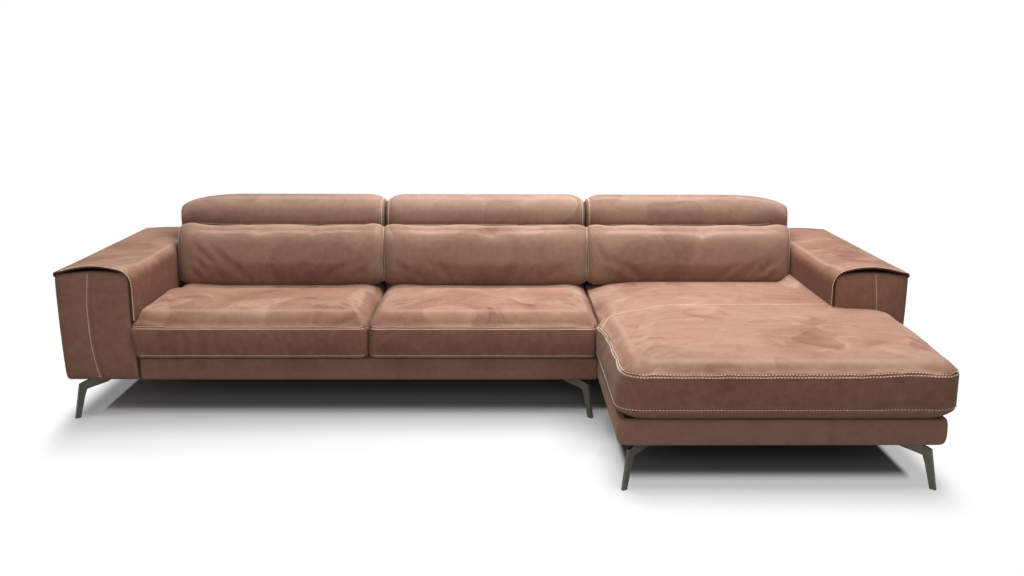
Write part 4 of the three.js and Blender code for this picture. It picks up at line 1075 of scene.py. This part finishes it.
bpy.ops.object.select_all(action="DESELECT")
bpy.ops.mesh.primitive_uv_sphere_add(segments=6, ring_count=6, radius=0.5, rotation=(0, math.pi / 2, 0))
stitch = bpy.context.object
bpy.ops.object.transform_apply(location=True, rotation=True, scale=True)
bpy.ops.object.mode_set(mode="EDIT")
bpy.ops.mesh.select_all(action="SELECT")
bpy.ops.transform.resize(value=(stitch_length, stitch_thickness, stitch_thickness))
bpy.ops.object.mode_set(mode="OBJECT")
stitch_points = get_points(stitch)
stitch_points[:, 2] -= 0.35 * stitch_thickness * (2 * stitch_points[:, 0] / stitch_length) ** 2
stitch_faces = [list(face.vertices) for face in stitch.data.polygons]
bpy.data.objects.remove(stitch)


def surface_of(piece):
    return BVHTree.FromPolygons(
        [v.co for v in piece.data.vertices], [p.vertices for p in piece.data.polygons])


def lay_on(surface, path, lift=0.0):
    """The nearest points of a surface to a line, lifted by a little, and the normals there."""
    points, normals = [], []
    for point in np.asarray(path, float):
        place, normal, _, _ = surface.find_nearest(Vector(point))
        points.append(place + normal * lift)
        normals.append(normal)
    return np.array(points), np.array(normals)


def even_out(values, reach=6):
    """A moving average along a line, with its ends repeated."""
    padded = np.concatenate([[values[0]] * reach, values, [values[-1]] * reach])
    window = np.ones(2 * reach + 1) / (2 * reach + 1)
    return np.stack([np.convolve(padded[:, i], window, "valid") for i in range(3)], 1)


def beside(path, normals, offset):
    """The line moved sideways on its surface."""
    path, normals = even_out(path, 2), even_out(normals)
    normals /= np.linalg.norm(normals, axis=1, keepdims=True)
    along = even_out(np.gradient(path, axis=0), 4)
    along /= np.maximum(np.linalg.norm(along, axis=1, keepdims=True), 1e-9)
    return path + np.cross(normals, along) * offset


def sew(name, surface, path, body, offset=0.0, slits=()):
    """A row of stitches on a surface, beside a line or on it, with none across a slit."""
    line, normals = lay_on(surface, dense(path))
    if offset:
        line, normals = lay_on(surface, beside(line, normals, offset))
    line, normals = even_out(line, 5), even_out(normals, 5)
    length = np.concatenate([[0], np.cumsum(np.linalg.norm(np.diff(line, axis=0), axis=1))])
    count = int(length[-1] / stitch_pitch)
    places = (np.arange(count) + 0.5) * length[-1] / max(count, 1)
    centres = np.stack([np.interp(places, length, line[:, i]) for i in range(3)], 1)
    ups = np.stack([np.interp(places, length, normals[:, i]) for i in range(3)], 1)
    ups /= np.linalg.norm(ups, axis=1, keepdims=True)
    ahead_step = np.stack([np.interp(places + 0.002, length, line[:, i]) for i in range(3)], 1)
    behind_step = np.stack([np.interp(places - 0.002, length, line[:, i]) for i in range(3)], 1)
    along = ahead_step - behind_step
    along -= ups * np.sum(along * ups, axis=1, keepdims=True)
    along /= np.maximum(np.linalg.norm(along, axis=1, keepdims=True), 1e-9)
    for x in slits:
        clear = np.abs(centres[:, 0] - x) > slit_half + stitch_pitch
        centres, ups, along = centres[clear], ups[clear], along[clear]
    count = len(centres)
    across = np.cross(ups, along)
    points = (centres[:, None] + stitch_points[None, :, :1] * along[:, None]
              + stitch_points[None, :, 1:2] * across[:, None]
              + (stitch_points[None, :, 2:] + 0.40 * stitch_thickness) * ups[:, None])
    per = len(stitch_points)
    faces = [[i + per * k for i in face] for k in range(count) for face in stitch_faces]
    mesh = bpy.data.meshes.new(name)
    mesh.from_pydata(points.reshape(-1, 3).tolist(), [], faces)
    piece = bpy.data.objects.new(name, mesh)
    scene.collection.objects.link(piece)
    mesh.polygons.foreach_set("use_smooth", [True] * len(faces))
    dress(piece, body, thread_finish)
    return piece


def dress(piece, body, finish, nodes=()):
    """Give a piece its finish, the body that it rides on and the nodes that it stands for."""
    piece.data.materials.clear()
    piece.data.materials.append(finish)
    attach(piece, body)
    if nodes:
        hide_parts(*nodes)


def row_path(piece, wanted, order):
    """Points of a moulded piece where wanted(i, j, k) is true, sorted by the given axes."""
    number, count = soft_rows[piece.name]
    mask = wanted(number[:, 0], number[:, 1], number[:, 2], count)
    found = np.nonzero(mask)[0]
    keys = [number[found, axis] for axis in reversed(order)]
    return get_points(piece)[found[np.lexsort(keys)]]


# %% [markdown]
# ## Sew the seat cushions
#
# The upper front seam is sewn twice, once on each side of the line, and the lower one once.

# %% Seams of the seats
for piece, node in zip(seats, ("seat_cushion_left", "seat_cushion_middle")):
    upper = row_path(piece, lambda i, j, k, n: (j == 0) & (k == n[2]), (0,))
    lower = row_path(piece, lambda i, j, k, n: (j == 0) & (k == 2), (0,))
    left = row_path(piece, lambda i, j, k, n: (i == 0) & (k == n[2]), (1,))
    right = row_path(piece, lambda i, j, k, n: (i == n[0]) & (k == n[2]), (1,))
    subdivide(piece)
    for path, depth in ((upper, 0.0035), (lower, 0.003), (left, 0.002), (right, 0.002)):
        press(piece, path, depth, 0.0045)
    mark_rubbed(piece, [lower])
    dress(piece, "sofa", nubuck_seat, [node])
    surface = surface_of(piece)
    sew(f"{piece.name}_stitches_top_a", surface, upper[2:-2], "sofa", 0.0048)
    sew(f"{piece.name}_stitches_top_b", surface, upper[2:-2], "sofa", -0.0048)
    sew(f"{piece.name}_stitches_low", surface, lower[2:-2], "sofa", 0.0045)
    print(piece.name, len(piece.data.polygons))

# %% [markdown]
# ## Sew the chaise cushion
#
# The upper seam runs round the front and both sides and is sewn twice. A single row crosses the
# top in line with the front of the arm, and turns down the left side in a wide curve. The lower
# seam is a single row too.

# %% Seams of the chaise
number, count = soft_rows["chaise_pad"]


def round_chaise(k_row):
    left = row_path(chaise, lambda i, j, k, n: (i == 0) & (k == k_row) & (j <= chaise_shoulder_row), (1,))
    front = row_path(chaise, lambda i, j, k, n: (j == 0) & (k == k_row), (0,))
    right = row_path(chaise, lambda i, j, k, n: (i == n[0]) & (k == k_row), (1,))
    return np.concatenate([left[::-1], front[1:], right[1:]])


chaise_upper = round_chaise(count[2])
chaise_lower = round_chaise(3)
cross_seam = np.array([
    (1.262, -0.138, 0.43), (1.13, -0.143, 0.43), (1.0, -0.144, 0.43), (0.85, -0.150, 0.43),
    (0.70, -0.152, 0.43), (0.60, -0.154, 0.43), (0.53, -0.160, 0.428), (0.47, -0.178, 0.42),
    (0.440, -0.212, 0.40), (0.420, -0.268, 0.38)])
cross_seam = np.array(round_line(cross_seam, 2))
subdivide(chaise)
surface = surface_of(chaise)
cross_seam, _ = lay_on(surface, dense(cross_seam))
for path, depth in ((chaise_upper, 0.0038), (chaise_lower, 0.003), (cross_seam, 0.0028)):
    press(chaise, path, depth, 0.0045)
mark_rubbed(chaise, [chaise_lower, cross_seam])
dress(chaise, "sofa", nubuck_seat, ["chaise_cushion"])
surface = surface_of(chaise)
sew("chaise_stitches_top_a", surface, chaise_upper, "sofa", 0.0048)
sew("chaise_stitches_top_b", surface, chaise_upper, "sofa", -0.0048)
sew("chaise_stitches_low", surface, chaise_lower, "sofa", 0.0045)
sew("chaise_stitches_cross", surface, cross_seam, "sofa", 0.0)
print("chaise", len(chaise.data.polygons))
lap("chaise")

# %% [markdown]
# ## Sew the back cushions and the headrests
#
# Each has a seam round both ends, with one row of stitches on the front side of it. The headrests
# also have one row low on the front of the roll.

# %% Seams round the ends of bolsters


def end_ring(piece, end, row=0):
    """The seam round one end, from the bottom of the front over the top to the rear."""
    at_end = (lambda i, n: i == row) if end == 0 else (lambda i, n: i == n[0] - row)
    front = row_path(piece, lambda i, j, k, n: at_end(i, n) & (j == 0), (2,))
    top = row_path(piece, lambda i, j, k, n: at_end(i, n) & (k == n[2]), (1,))
    rear = row_path(piece, lambda i, j, k, n: at_end(i, n) & (j == n[1]), (2,))
    return np.concatenate([front, top[1:], rear[::-1][1:]])


creases = {
    "left": [[(-1.224, 0.588), (-1.17, 0.53), (-1.085, 0.455)],
             [(-1.204, 0.527), (-1.17, 0.48), (-1.134, 0.440)],
             [(-1.13, 0.56), (-1.06, 0.49), (-1.02, 0.455)]],
    "middle": [[(-0.39, 0.50), (-0.34, 0.46), (-0.30, 0.43)]],
    "right": [[(0.46, 0.60), (0.475, 0.54), (0.50, 0.47)], [(1.20, 0.50), (1.16, 0.46), (1.11, 0.43)]],
}
for piece, side in zip(backs, sides):
    rings = [end_ring(piece, 0, 1), end_ring(piece, 1, 1)]
    subdivide(piece)
    surface = surface_of(piece)
    for crease in creases[side]:
        line, _ = lay_on(surface, dense([(x, 0.36, z) for x, z in crease]))
        press(piece, line, 0.0036, 0.014, taper=0.45, lip=0.0012)
    for ring in rings:
        press(piece, ring, 0.003, 0.005)
    mark_rubbed(piece, rings, 0.008)
    dress(piece, "sofa", nubuck_back, [f"back_cushion_{side}"])
    surface = surface_of(piece)
    for ring, name, way in zip(rings, ("a", "b"), (1, -1)):
        front_and_top = ring[:int(len(ring) * 0.62)]
        sew(f"{piece.name}_stitches_{name}", surface, front_and_top, "sofa", 0.005 * way)

# %% Room for the hinges inside the headrests
bracket_x = 0.1506
plate_middle = 0.0042
chamber_radius = 0.037
chamber_half = 0.0091
slit_half = 0.0040
slit_reach = 0.145
slit_first, slit_last = math.radians(-160), math.radians(-66)


def cut_away(piece, cutter):
    bpy.ops.object.select_all(action="DESELECT")
    piece.select_set(True)
    bpy.context.view_layer.objects.active = piece
    modifier = piece.modifiers.new("cut", "BOOLEAN")
    modifier.operation = "DIFFERENCE"
    modifier.solver = "EXACT"
    modifier.object = cutter
    bpy.ops.object.modifier_apply(modifier=modifier.name)
    bpy.data.objects.remove(cutter)


def add_disc(x, radius, half_thickness, sides_round):
    """A disc about the hinge axis."""
    bpy.ops.object.select_all(action="DESELECT")
    bpy.ops.mesh.primitive_cylinder_add(
        vertices=sides_round, radius=radius, depth=2 * half_thickness,
        location=(x, hinge_y, hinge_z), rotation=(0, math.pi / 2, 0))
    bpy.ops.object.transform_apply(location=True, rotation=True, scale=True)
    return bpy.context.object


def hollow_for_hinge(piece, x):
    cut_away(piece, add_disc(x, chamber_radius, chamber_half, 40))
    wedge = add_disc(x, slit_reach, slit_half, 90)
    points = get_points(wedge)
    angle = np.arctan2(points[:, 2] - hinge_z, points[:, 1] - hinge_y)
    outside_wedge = (angle < slit_first) | (angle > slit_last)
    points[outside_wedge, 1:] = (hinge_y, hinge_z)
    set_points(wedge, points)
    bpy.ops.object.mode_set(mode="EDIT")
    bpy.ops.mesh.select_all(action="SELECT")
    bpy.ops.mesh.remove_doubles(threshold=0.00001)
    bpy.ops.mesh.normals_make_consistent(inside=False)
    bpy.ops.object.mode_set(mode="OBJECT")
    cut_away(piece, wedge)


# %% Seams of the headrests
for piece, side in zip(headrests, sides):
    rings = [end_ring(piece, 0, 0 if side == "left" else 3),
             end_ring(piece, 1, 0 if side == "right" else 3)]
    subdivide(piece)
    for ring in rings:
        press(piece, ring, 0.0025, 0.0045)
    low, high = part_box(f"headrest_pad_{side}")
    front_line = [(x, hinge_y - roll_radius * 0.955, hinge_z - 0.028)
                  for x in np.linspace(low.x + 0.09, high.x - 0.09, 120)]
    surface = surface_of(piece)
    front_line, _ = lay_on(surface, front_line)
    press(piece, front_line, 0.0015, 0.004)
    mark_rubbed(piece, rings, 0.007)
    body = f"headrest_{side}"
    dress(piece, body, nubuck_back, [f"headrest_pad_{side}"])
    surface = surface_of(piece)
    for ring, name, way in zip(rings, ("a", "b"), (1, -1)):
        sew(f"{piece.name}_stitches_{name}", surface, ring, body, 0.005 * way)
    seat_middle = {"left": -0.848, "middle": 0.0, "right": 0.848}[side]
    slits = [seat_middle + way * (bracket_x + plate_middle) for way in (-1, 1)]
    sew(f"{piece.name}_stitches_front", surface, front_line, body, -0.004, slits)
    for x in slits:
        hollow_for_hinge(piece, x)
print("bolsters sewn")
lap("bolsters_sewn")

# %% [markdown]
# ## Covers that are bands
#
# The arm's front, side and back are one padded band round the corner, and so is the base of the
# chaise. A band is a grid that follows a line in plan. Its upright rows follow a profile, which
# says how far the leather has turned in at each height. Solidify then gives it its padding.

# %% A line with rounded corners, and a band along it


def round_corners(points, radii, gap=0.012):
    """A plan line with a radius at each inner point, as evenly spaced points."""
    points = [np.array(p, float) for p in points]
    line = [points[0]]
    for before, here, after, radius in zip(points, points[1:], points[2:], radii):
        to_before = (before - here) / np.linalg.norm(before - here)
        to_after = (after - here) / np.linalg.norm(after - here)
        turn = math.acos(np.clip(to_before @ to_after, -1, 1))
        cut = radius / math.tan(turn / 2)
        start, end = here + to_before * cut, here + to_after * cut
        steps = np.linspace(0, 1, 7)
        centre = here + (to_before + to_after) / np.linalg.norm(to_before + to_after) * (
            radius / math.sin(turn / 2))
        for share in steps:
            ray = start + (end - start) * share - centre
            line.append(centre + ray / np.linalg.norm(ray) * radius)
    line.append(points[-1])
    even = [line[0]]
    for a, b in zip(line, line[1:]):
        pieces = max(int(np.linalg.norm(b - a) / gap), 1)
        even += [a + (b - a) * n / pieces for n in range(1, pieces + 1)]
    return np.array(even)


def make_band(name, plan, profile, thickness, outside=1):
    """profile gives (turned in, height) pairs, or is a function of the plan points."""
    along = np.gradient(plan, axis=0)
    along /= np.linalg.norm(along, axis=1, keepdims=True)
    inward = np.stack([-along[:, 1], along[:, 0]], 1) * outside
    profiles = [profile] * len(plan) if not callable(profile) else [profile(p) for p in plan]
    tall = len(profiles[0])
    bpy.ops.object.select_all(action="DESELECT")
    bpy.ops.mesh.primitive_grid_add(
        x_subdivisions=len(plan) - 1, y_subdivisions=tall - 1, size=1, calc_uvs=False)
    piece = bpy.context.object
    piece.name = name
    flat = get_points(piece) + 0.5
    i = np.rint(flat[:, 0] * (len(plan) - 1)).astype(int)
    j = np.rint(flat[:, 1] * (tall - 1)).astype(int)
    turned = np.array(profiles)[i, j]
    ground = plan[i] + inward[i] * turned[:, :1]
    set_points(piece, np.column_stack([ground, turned[:, 1]]))
    thicken(piece, thickness, piece_faces_out(piece, i, j, inward))
    return piece


def piece_faces_out(piece, i, j, inward):
    """Whether the first face of a band looks away from its inner side."""
    face = piece.data.polygons[len(piece.data.polygons) // 2]
    return face.normal.xy.dot(Vector(inward[i[face.vertices[0]]])) < 0


def thicken(piece, thickness, faces_out=True):
    if not faces_out:
        piece.data.flip_normals()
    bpy.ops.object.select_all(action="DESELECT")
    piece.select_set(True)
    bpy.context.view_layer.objects.active = piece
    modifier = piece.modifiers.new("padding", "SOLIDIFY")
    modifier.thickness = thickness
    modifier.offset = -1
    modifier.use_quality_normals = True
    bpy.ops.object.modifier_apply(modifier=modifier.name)


def padded_profile(low, high, under, over, bulge=0.003, low_round=0.010, high_round=0.008, step=0.014):
    """Turned in by under at the bottom and by over at the top, with rounded edges between."""
    quarter = np.linspace(0, math.pi / 2, 5)
    lower = [(low_round * (1 - math.sin(a)), low + low_round * (1 - math.cos(a))) for a in quarter]
    upper = [(high_round * (1 - math.cos(a)), high - high_round * (1 - math.sin(a))) for a in quarter]
    count = max(int((high - low) / step), 3)
    heights = np.linspace(low + low_round, high - high_round, count + 1)[1:-1]
    middle = [(-bulge * math.sin(math.pi * (h - low) / (high - low)) ** 0.6, h) for h in heights]
    return [(under, low)] + lower + middle + upper + [(over, high)]


# %% [markdown]
# ## Arms
#
# The panel goes round the front, the outer side and the back of the arm. Its outer side leans in
# towards the floor. The wrap lies over the top and down the side that faces the seat, and its
# front edge stands up as an arched flap over the panel, so that a dark gap shows below it.

# %% Arm panels
half_width = 1.550
arm_top = 0.555
floor_gap = 0.150
arm_lean = 0.015
arm_rear = 0.880
flap_rise = 0.026
flap_fade = 0.230
seam_to_stitch = 0.008


def lean_in(points):
    share = np.clip((points[:, 0] - 1.2923) / (half_width - 1.2923), 0, 1)
    points[:, 0] -= arm_lean * share * (arm_top - points[:, 2]) / (arm_top - floor_gap)
    return points


def to_side(points, side):
    return points * (side, 1, 1)


def turn_out(piece):
    bpy.ops.object.select_all(action="DESELECT")
    piece.select_set(True)
    bpy.context.view_layer.objects.active = piece
    bpy.ops.object.mode_set(mode="EDIT")
    bpy.ops.mesh.select_all(action="SELECT")
    bpy.ops.mesh.normals_make_consistent(inside=False)
    bpy.ops.object.mode_set(mode="OBJECT")


arm_plan = round_corners(
    [(1.283, arm_front_y), (half_width + 0.006, arm_front_y), (half_width, arm_rear),
     (1.293, arm_rear)],
    [0.021, 0.040])
front_profile = padded_profile(floor_gap, 0.5445, 0.0175, 0.026, 0.004, 0.014)
side_profile = padded_profile(floor_gap, 0.5343, 0.0175, 0.010, 0.003, 0.014)


def arm_profile(point):
    side = point[1] > arm_front_y + 0.020
    return fit_profile(side_profile, len(front_profile)) if side else front_profile


def fit_profile(profile, count):
    """The same profile with another number of points."""
    profile = np.array(profile)
    places = np.linspace(0, len(profile) - 1, count)
    return [tuple(np.interp(places[n], range(len(profile)), profile[:, c]) for c in (0, 1))
            for n in range(count)]


centre_seam = [(1.4290, 0.5575), (1.4295, 0.5510), (1.4320, 0.5420), (1.4315, 0.520), (1.4385, 0.470), (1.4400, 0.42), (1.4375, 0.34),
               (1.4340, 0.284), (1.4240, 0.215), (1.4090, 0.152)]


def make_arm_panel(side, sign):
    piece = make_band(f"arm_panel_cover_{side}", arm_plan, arm_profile, 0.015)
    points = lean_in(get_points(piece))
    seam = np.array([(x, arm_front_y, z) for x, z in round_line(centre_seam, 2)])
    front = points[:, 1] < arm_front_y + 0.030
    share = (points[:, 0] - arm_face_x) / (half_width - arm_face_x)
    arch = 0.50 * flap_rise * np.sin(math.pi * np.clip(share, 0, 1))
    points[:, 2] += arch * front * ease(points[:, 2], 0.44, 0.545)
    below_seat = 1 - ease(points[:, 2], 0.30, 0.36)
    points[:, 0] -= 0.0105 * below_seat * (points[:, 0] < 1.2835)
    from_seam = np.abs(points[:, 0] - np.interp(points[:, 2], seam[::-1, 2], seam[::-1, 0]))
    rim = np.minimum.reduce([points[:, 0] - 1.283, half_width - 0.012 - points[:, 0],
                             points[:, 2] - floor_gap, 0.545 - points[:, 2]])
    swell = roll(np.minimum(from_seam, rim), 0.06, 2.0, 1.3)
    points[:, 1] -= 0.0045 * np.where(front, swell, 0)
    set_points(piece, points)
    subdivide(piece)
    surface = surface_of(piece)
    seam, _ = lay_on(surface, dense(seam))
    fold = seam - (seam_to_stitch, 0, 0)
    press(piece, fold, 0.0042, 0.0032)
    set_points(piece, to_side(get_points(piece), sign))
    turn_out(piece)
    seam = to_side(seam, sign)
    mark_rubbed(piece, [seam], 0.006)
    dress(piece, "sofa", nubuck_cover, [f"arm_panel_{side}"])
    sew(f"arm_panel_stitches_{side}", surface_of(piece), seam, "sofa", 0.0)
    return piece


for side, sign in (("left", -1), ("right", 1)):
    make_arm_panel(side, sign)
print("arm panels done")
lap("arm_panels_done")

# %% Arm wraps


def lift_of(share, distance):
    return flap_rise * np.sin(math.pi * np.clip(share, 0, 1)) * (1 - ease(distance, 0, flap_fade))


def wrap_section():
    """The line of the wrap over the arm, as (x, z, share of the width) from the base upward."""
    bend = 0.045
    edge = 0.010
    line = [(arm_face_x, z) for z in np.linspace(floor_gap, arm_top - bend, 34)]
    line += [(arm_face_x + bend * (1 - math.cos(a)), arm_top - bend * (1 - math.sin(a)))
             for a in np.linspace(0, math.pi / 2, 9)[1:]]
    line += [(x, arm_top) for x in np.linspace(arm_face_x + bend, half_width - edge, 20)[1:]]
    line += [(half_width - edge * (1 - math.sin(a)), arm_top - edge * (1 - math.cos(a)))
             for a in np.linspace(0, math.pi / 2, 5)[1:]]
    return np.array(line + [(half_width - 0.0002, arm_top - 0.0145), (half_width - 0.0006, 0.5362)])


def make_arm_wrap(side, sign):
    section = wrap_section()
    front = arm_front_y - 0.008
    back = np.concatenate([front + rows(arm_rear - front, first=0.003, step=0.016)])
    bpy.ops.object.select_all(action="DESELECT")
    bpy.ops.mesh.primitive_grid_add(
        x_subdivisions=len(section) - 1, y_subdivisions=len(back) - 1, size=1, calc_uvs=False)
    piece = bpy.context.object
    piece.name = f"arm_wrap_cover_{side}"
    flat = get_points(piece) + 0.5
    i = np.rint(flat[:, 0] * (len(section) - 1)).astype(int)
    j = np.rint(flat[:, 1] * (len(back) - 1)).astype(int)
    x, z, y = section[i, 0], section[i, 1].copy(), back[j]
    on_top = ease(z, arm_top - 0.045, arm_top - 0.012)
    z = z + lift_of((x - arm_face_x) / (half_width - arm_face_x), y - front) * on_top
    share = (x - arm_face_x) / (half_width - arm_face_x)
    z = z + 0.006 * np.sin(math.pi * np.clip(share, 0, 1)) * on_top * ease(y, front, front + 0.1)
    outward = 0.0012 + 0.0050 * (1 - np.clip((y - front) / (arm_rear - front), 0, 1))
    x = x + outward * (i > len(section) - 8)
    hidden = 1 - ease(section[i, 1], 0.345, 0.385)
    y = y + 0.024 * hidden * (1 - np.clip((y - front) / 0.06, 0, 1))
    tail = np.clip((i - (len(section) - 8)) / 6, 0, 1)
    y = y + 0.013 * tail * (1 - np.clip((y - front) / 0.06, 0, 1))
    rear_turn = np.clip((y - (arm_rear - 0.014)) / 0.014, 0, 1)
    z = z - 0.014 * (1 - np.sqrt(1 - rear_turn ** 2)) * on_top
    set_points(piece, np.column_stack([x, y, z]))
    group = piece.vertex_groups.new(name="padding")
    thick = 0.42 + 0.58 * ease(y, arm_front_y + 0.018, arm_front_y + 0.034)
    for weight in np.unique(np.round(thick, 2)):
        group.add(np.nonzero(np.round(thick, 2) == weight)[0].tolist(), float(weight), "REPLACE")
    middle = piece.data.polygons[len(piece.data.polygons) // 2]
    if middle.normal.z < 0 or middle.normal.x > 0.5:
        piece.data.flip_normals()
    bpy.ops.object.select_all(action="DESELECT")
    piece.select_set(True)
    bpy.context.view_layer.objects.active = piece
    modifier = piece.modifiers.new("padding", "SOLIDIFY")
    modifier.thickness = 0.018
    modifier.offset = -1
    modifier.vertex_group = "padding"
    bpy.ops.object.modifier_apply(modifier=modifier.name)
    subdivide(piece)
    set_points(piece, to_side(get_points(piece), sign))
    turn_out(piece)
    hem_rows = [n for n, (hx, hz) in enumerate(section) if hz > 0.36]
    hem = []
    for n in hem_rows[:-7]:
        ahead_point, behind_point = section[n + 1], section[n - 1]
        tangent = (ahead_point - behind_point) / np.linalg.norm(ahead_point - behind_point)
        share = (section[n, 0] - arm_face_x) / (half_width - arm_face_x)
        lifted = lift_of(share, 0.0) * ease(section[n, 1], arm_top - 0.045, arm_top - 0.012)
        hem.append((section[n, 0] - 0.004 * tangent[1], front - 0.004,
                    section[n, 1] + 0.004 * tangent[0] + lifted))
    hem = np.array(hem)
    hem = to_side(hem, sign)
    mark_rubbed(piece, [hem + (0, -0.007, 0)], 0.006)
    dress(piece, "sofa", nubuck_wrap, [f"arm_wrap_{side}"])
    sew(f"arm_wrap_stitches_{side}", surface_of(piece), hem, "sofa", 0.0)
    return piece


for side, sign in (("left", -1), ("right", 1)):
    make_arm_wrap(side, sign)
print("arm wraps done")
lap("arm_wraps_done")

# %% [markdown]
# ## Base and backs
#
# Under the seats runs a padded rail, and the chaise stands on a padded box with soft corners. The
# backs are plain padded covers. All are bands, each along its own line in plan.

# %% Base covers
low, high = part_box("base_cover_left")
line = round_corners([(low.x, low.y - 0.012), (high.x, low.y - 0.012)], [])
rail_cover = make_band(
    "base_rail_cover", line,
    padded_profile(low.z - 0.006, high.z, 0.016, 0.016, 0.003, 0.012, 0.010, 0.010), 0.014)
subdivide(rail_cover)
turn_out(rail_cover)
mark_rubbed(rail_cover, [])
dress(rail_cover, "sofa", nubuck_base, ["base_cover_left"])

low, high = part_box("base_cover_chaise")
line = round_corners(
    [(low.x, -0.140), (low.x, low.y), (high.x + 0.009, low.y), (high.x + 0.009, -0.1785)],
    [0.034, 0.034])
chaise_box = make_band(
    "base_box_cover", line,
    padded_profile(low.z - 0.003, high.z, 0.016, 0.042, 0.003, 0.012, 0.010, 0.010), 0.014)
subdivide(chaise_box)
turn_out(chaise_box)
mark_rubbed(chaise_box, [])
dress(chaise_box, "sofa", nubuck_base, ["base_cover_chaise"])
print("base covers done")
lap("base_covers_done")

# %% Back covers
back_front_y = 0.554
back_rear_y = 0.880
slot_front_y, slot_rear_y = 0.5723, 0.6303


def back_profile():
    """Up the rear face, round its top edge, forward over the top, and down at the front."""
    edge = 0.020
    quarter = np.linspace(0, math.pi / 2, 7)
    line = [(0.012, floor_gap), (0.004, floor_gap + 0.001), (0.0, floor_gap + 0.012)]
    line += [(-0.004 * math.sin(math.pi * share), floor_gap + 0.012 + share * 0.37)
             for share in np.linspace(0, 1, 22)[1:]]
    line += [(edge * (1 - math.cos(a)), arm_top - edge * (1 - math.sin(a))) for a in quarter]
    depth = back_rear_y - back_front_y
    line += [(inset, arm_top) for inset in np.linspace(edge, depth - 0.012, 16)[1:]]
    return line + [(depth - 0.004, arm_top - 0.003), (depth, arm_top - 0.011),
                   (depth, arm_top - 0.019)]


def make_back_cover(name, node, seat_middles):
    low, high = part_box(node)
    line = round_corners([(high.x, back_rear_y), (low.x, back_rear_y)], [], gap=0.02)
    piece = make_band(name, line, back_profile(), 0.016)
    subdivide(piece)
    turn_out(piece)
    for seat_middle in seat_middles:
        for way in (-1, 1):
            x = seat_middle + way * (bracket_x + plate_middle)
            bpy.ops.object.select_all(action="DESELECT")
            bpy.ops.mesh.primitive_cube_add(
                size=1, location=(x, (slot_front_y + slot_rear_y) / 2, arm_top),
                scale=(0.0084, slot_rear_y - slot_front_y, 0.08))
            bpy.ops.object.transform_apply(location=True, rotation=True, scale=True)
            cut_away(piece, bpy.context.object)
    mark_rubbed(piece, [])
    dress(piece, "sofa", nubuck_cover, [node])
    return piece


make_back_cover("back_panel_left", "back_cover_left", (-0.848, 0.0))
make_back_cover("back_panel_chaise", "back_cover_chaise", (0.848,))
lap("back_covers")

# %% [markdown]
# ## Inside and underneath
#
# Timber, webbing, dust cloth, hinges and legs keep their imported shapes, which are right, and get
# the finishes made above.

# %% Finishes of the hard parts
finishes = {"timber": timber_finish, "webbing": webbing_finish, "dust_cloth": cloth_finish,
            "hinge_steel": steel_finish, "leg_metal": bronze_finish, "leather": nubuck_cover}
slots = {part["node"]: part["material_slot"] for part in frame["record"]["subparts"]}
for node, piece in frame["nodes"].items():
    piece.data.materials.clear()
    piece.data.materials.append(finishes[slots[node]])
print("nodes finished", len(slots))
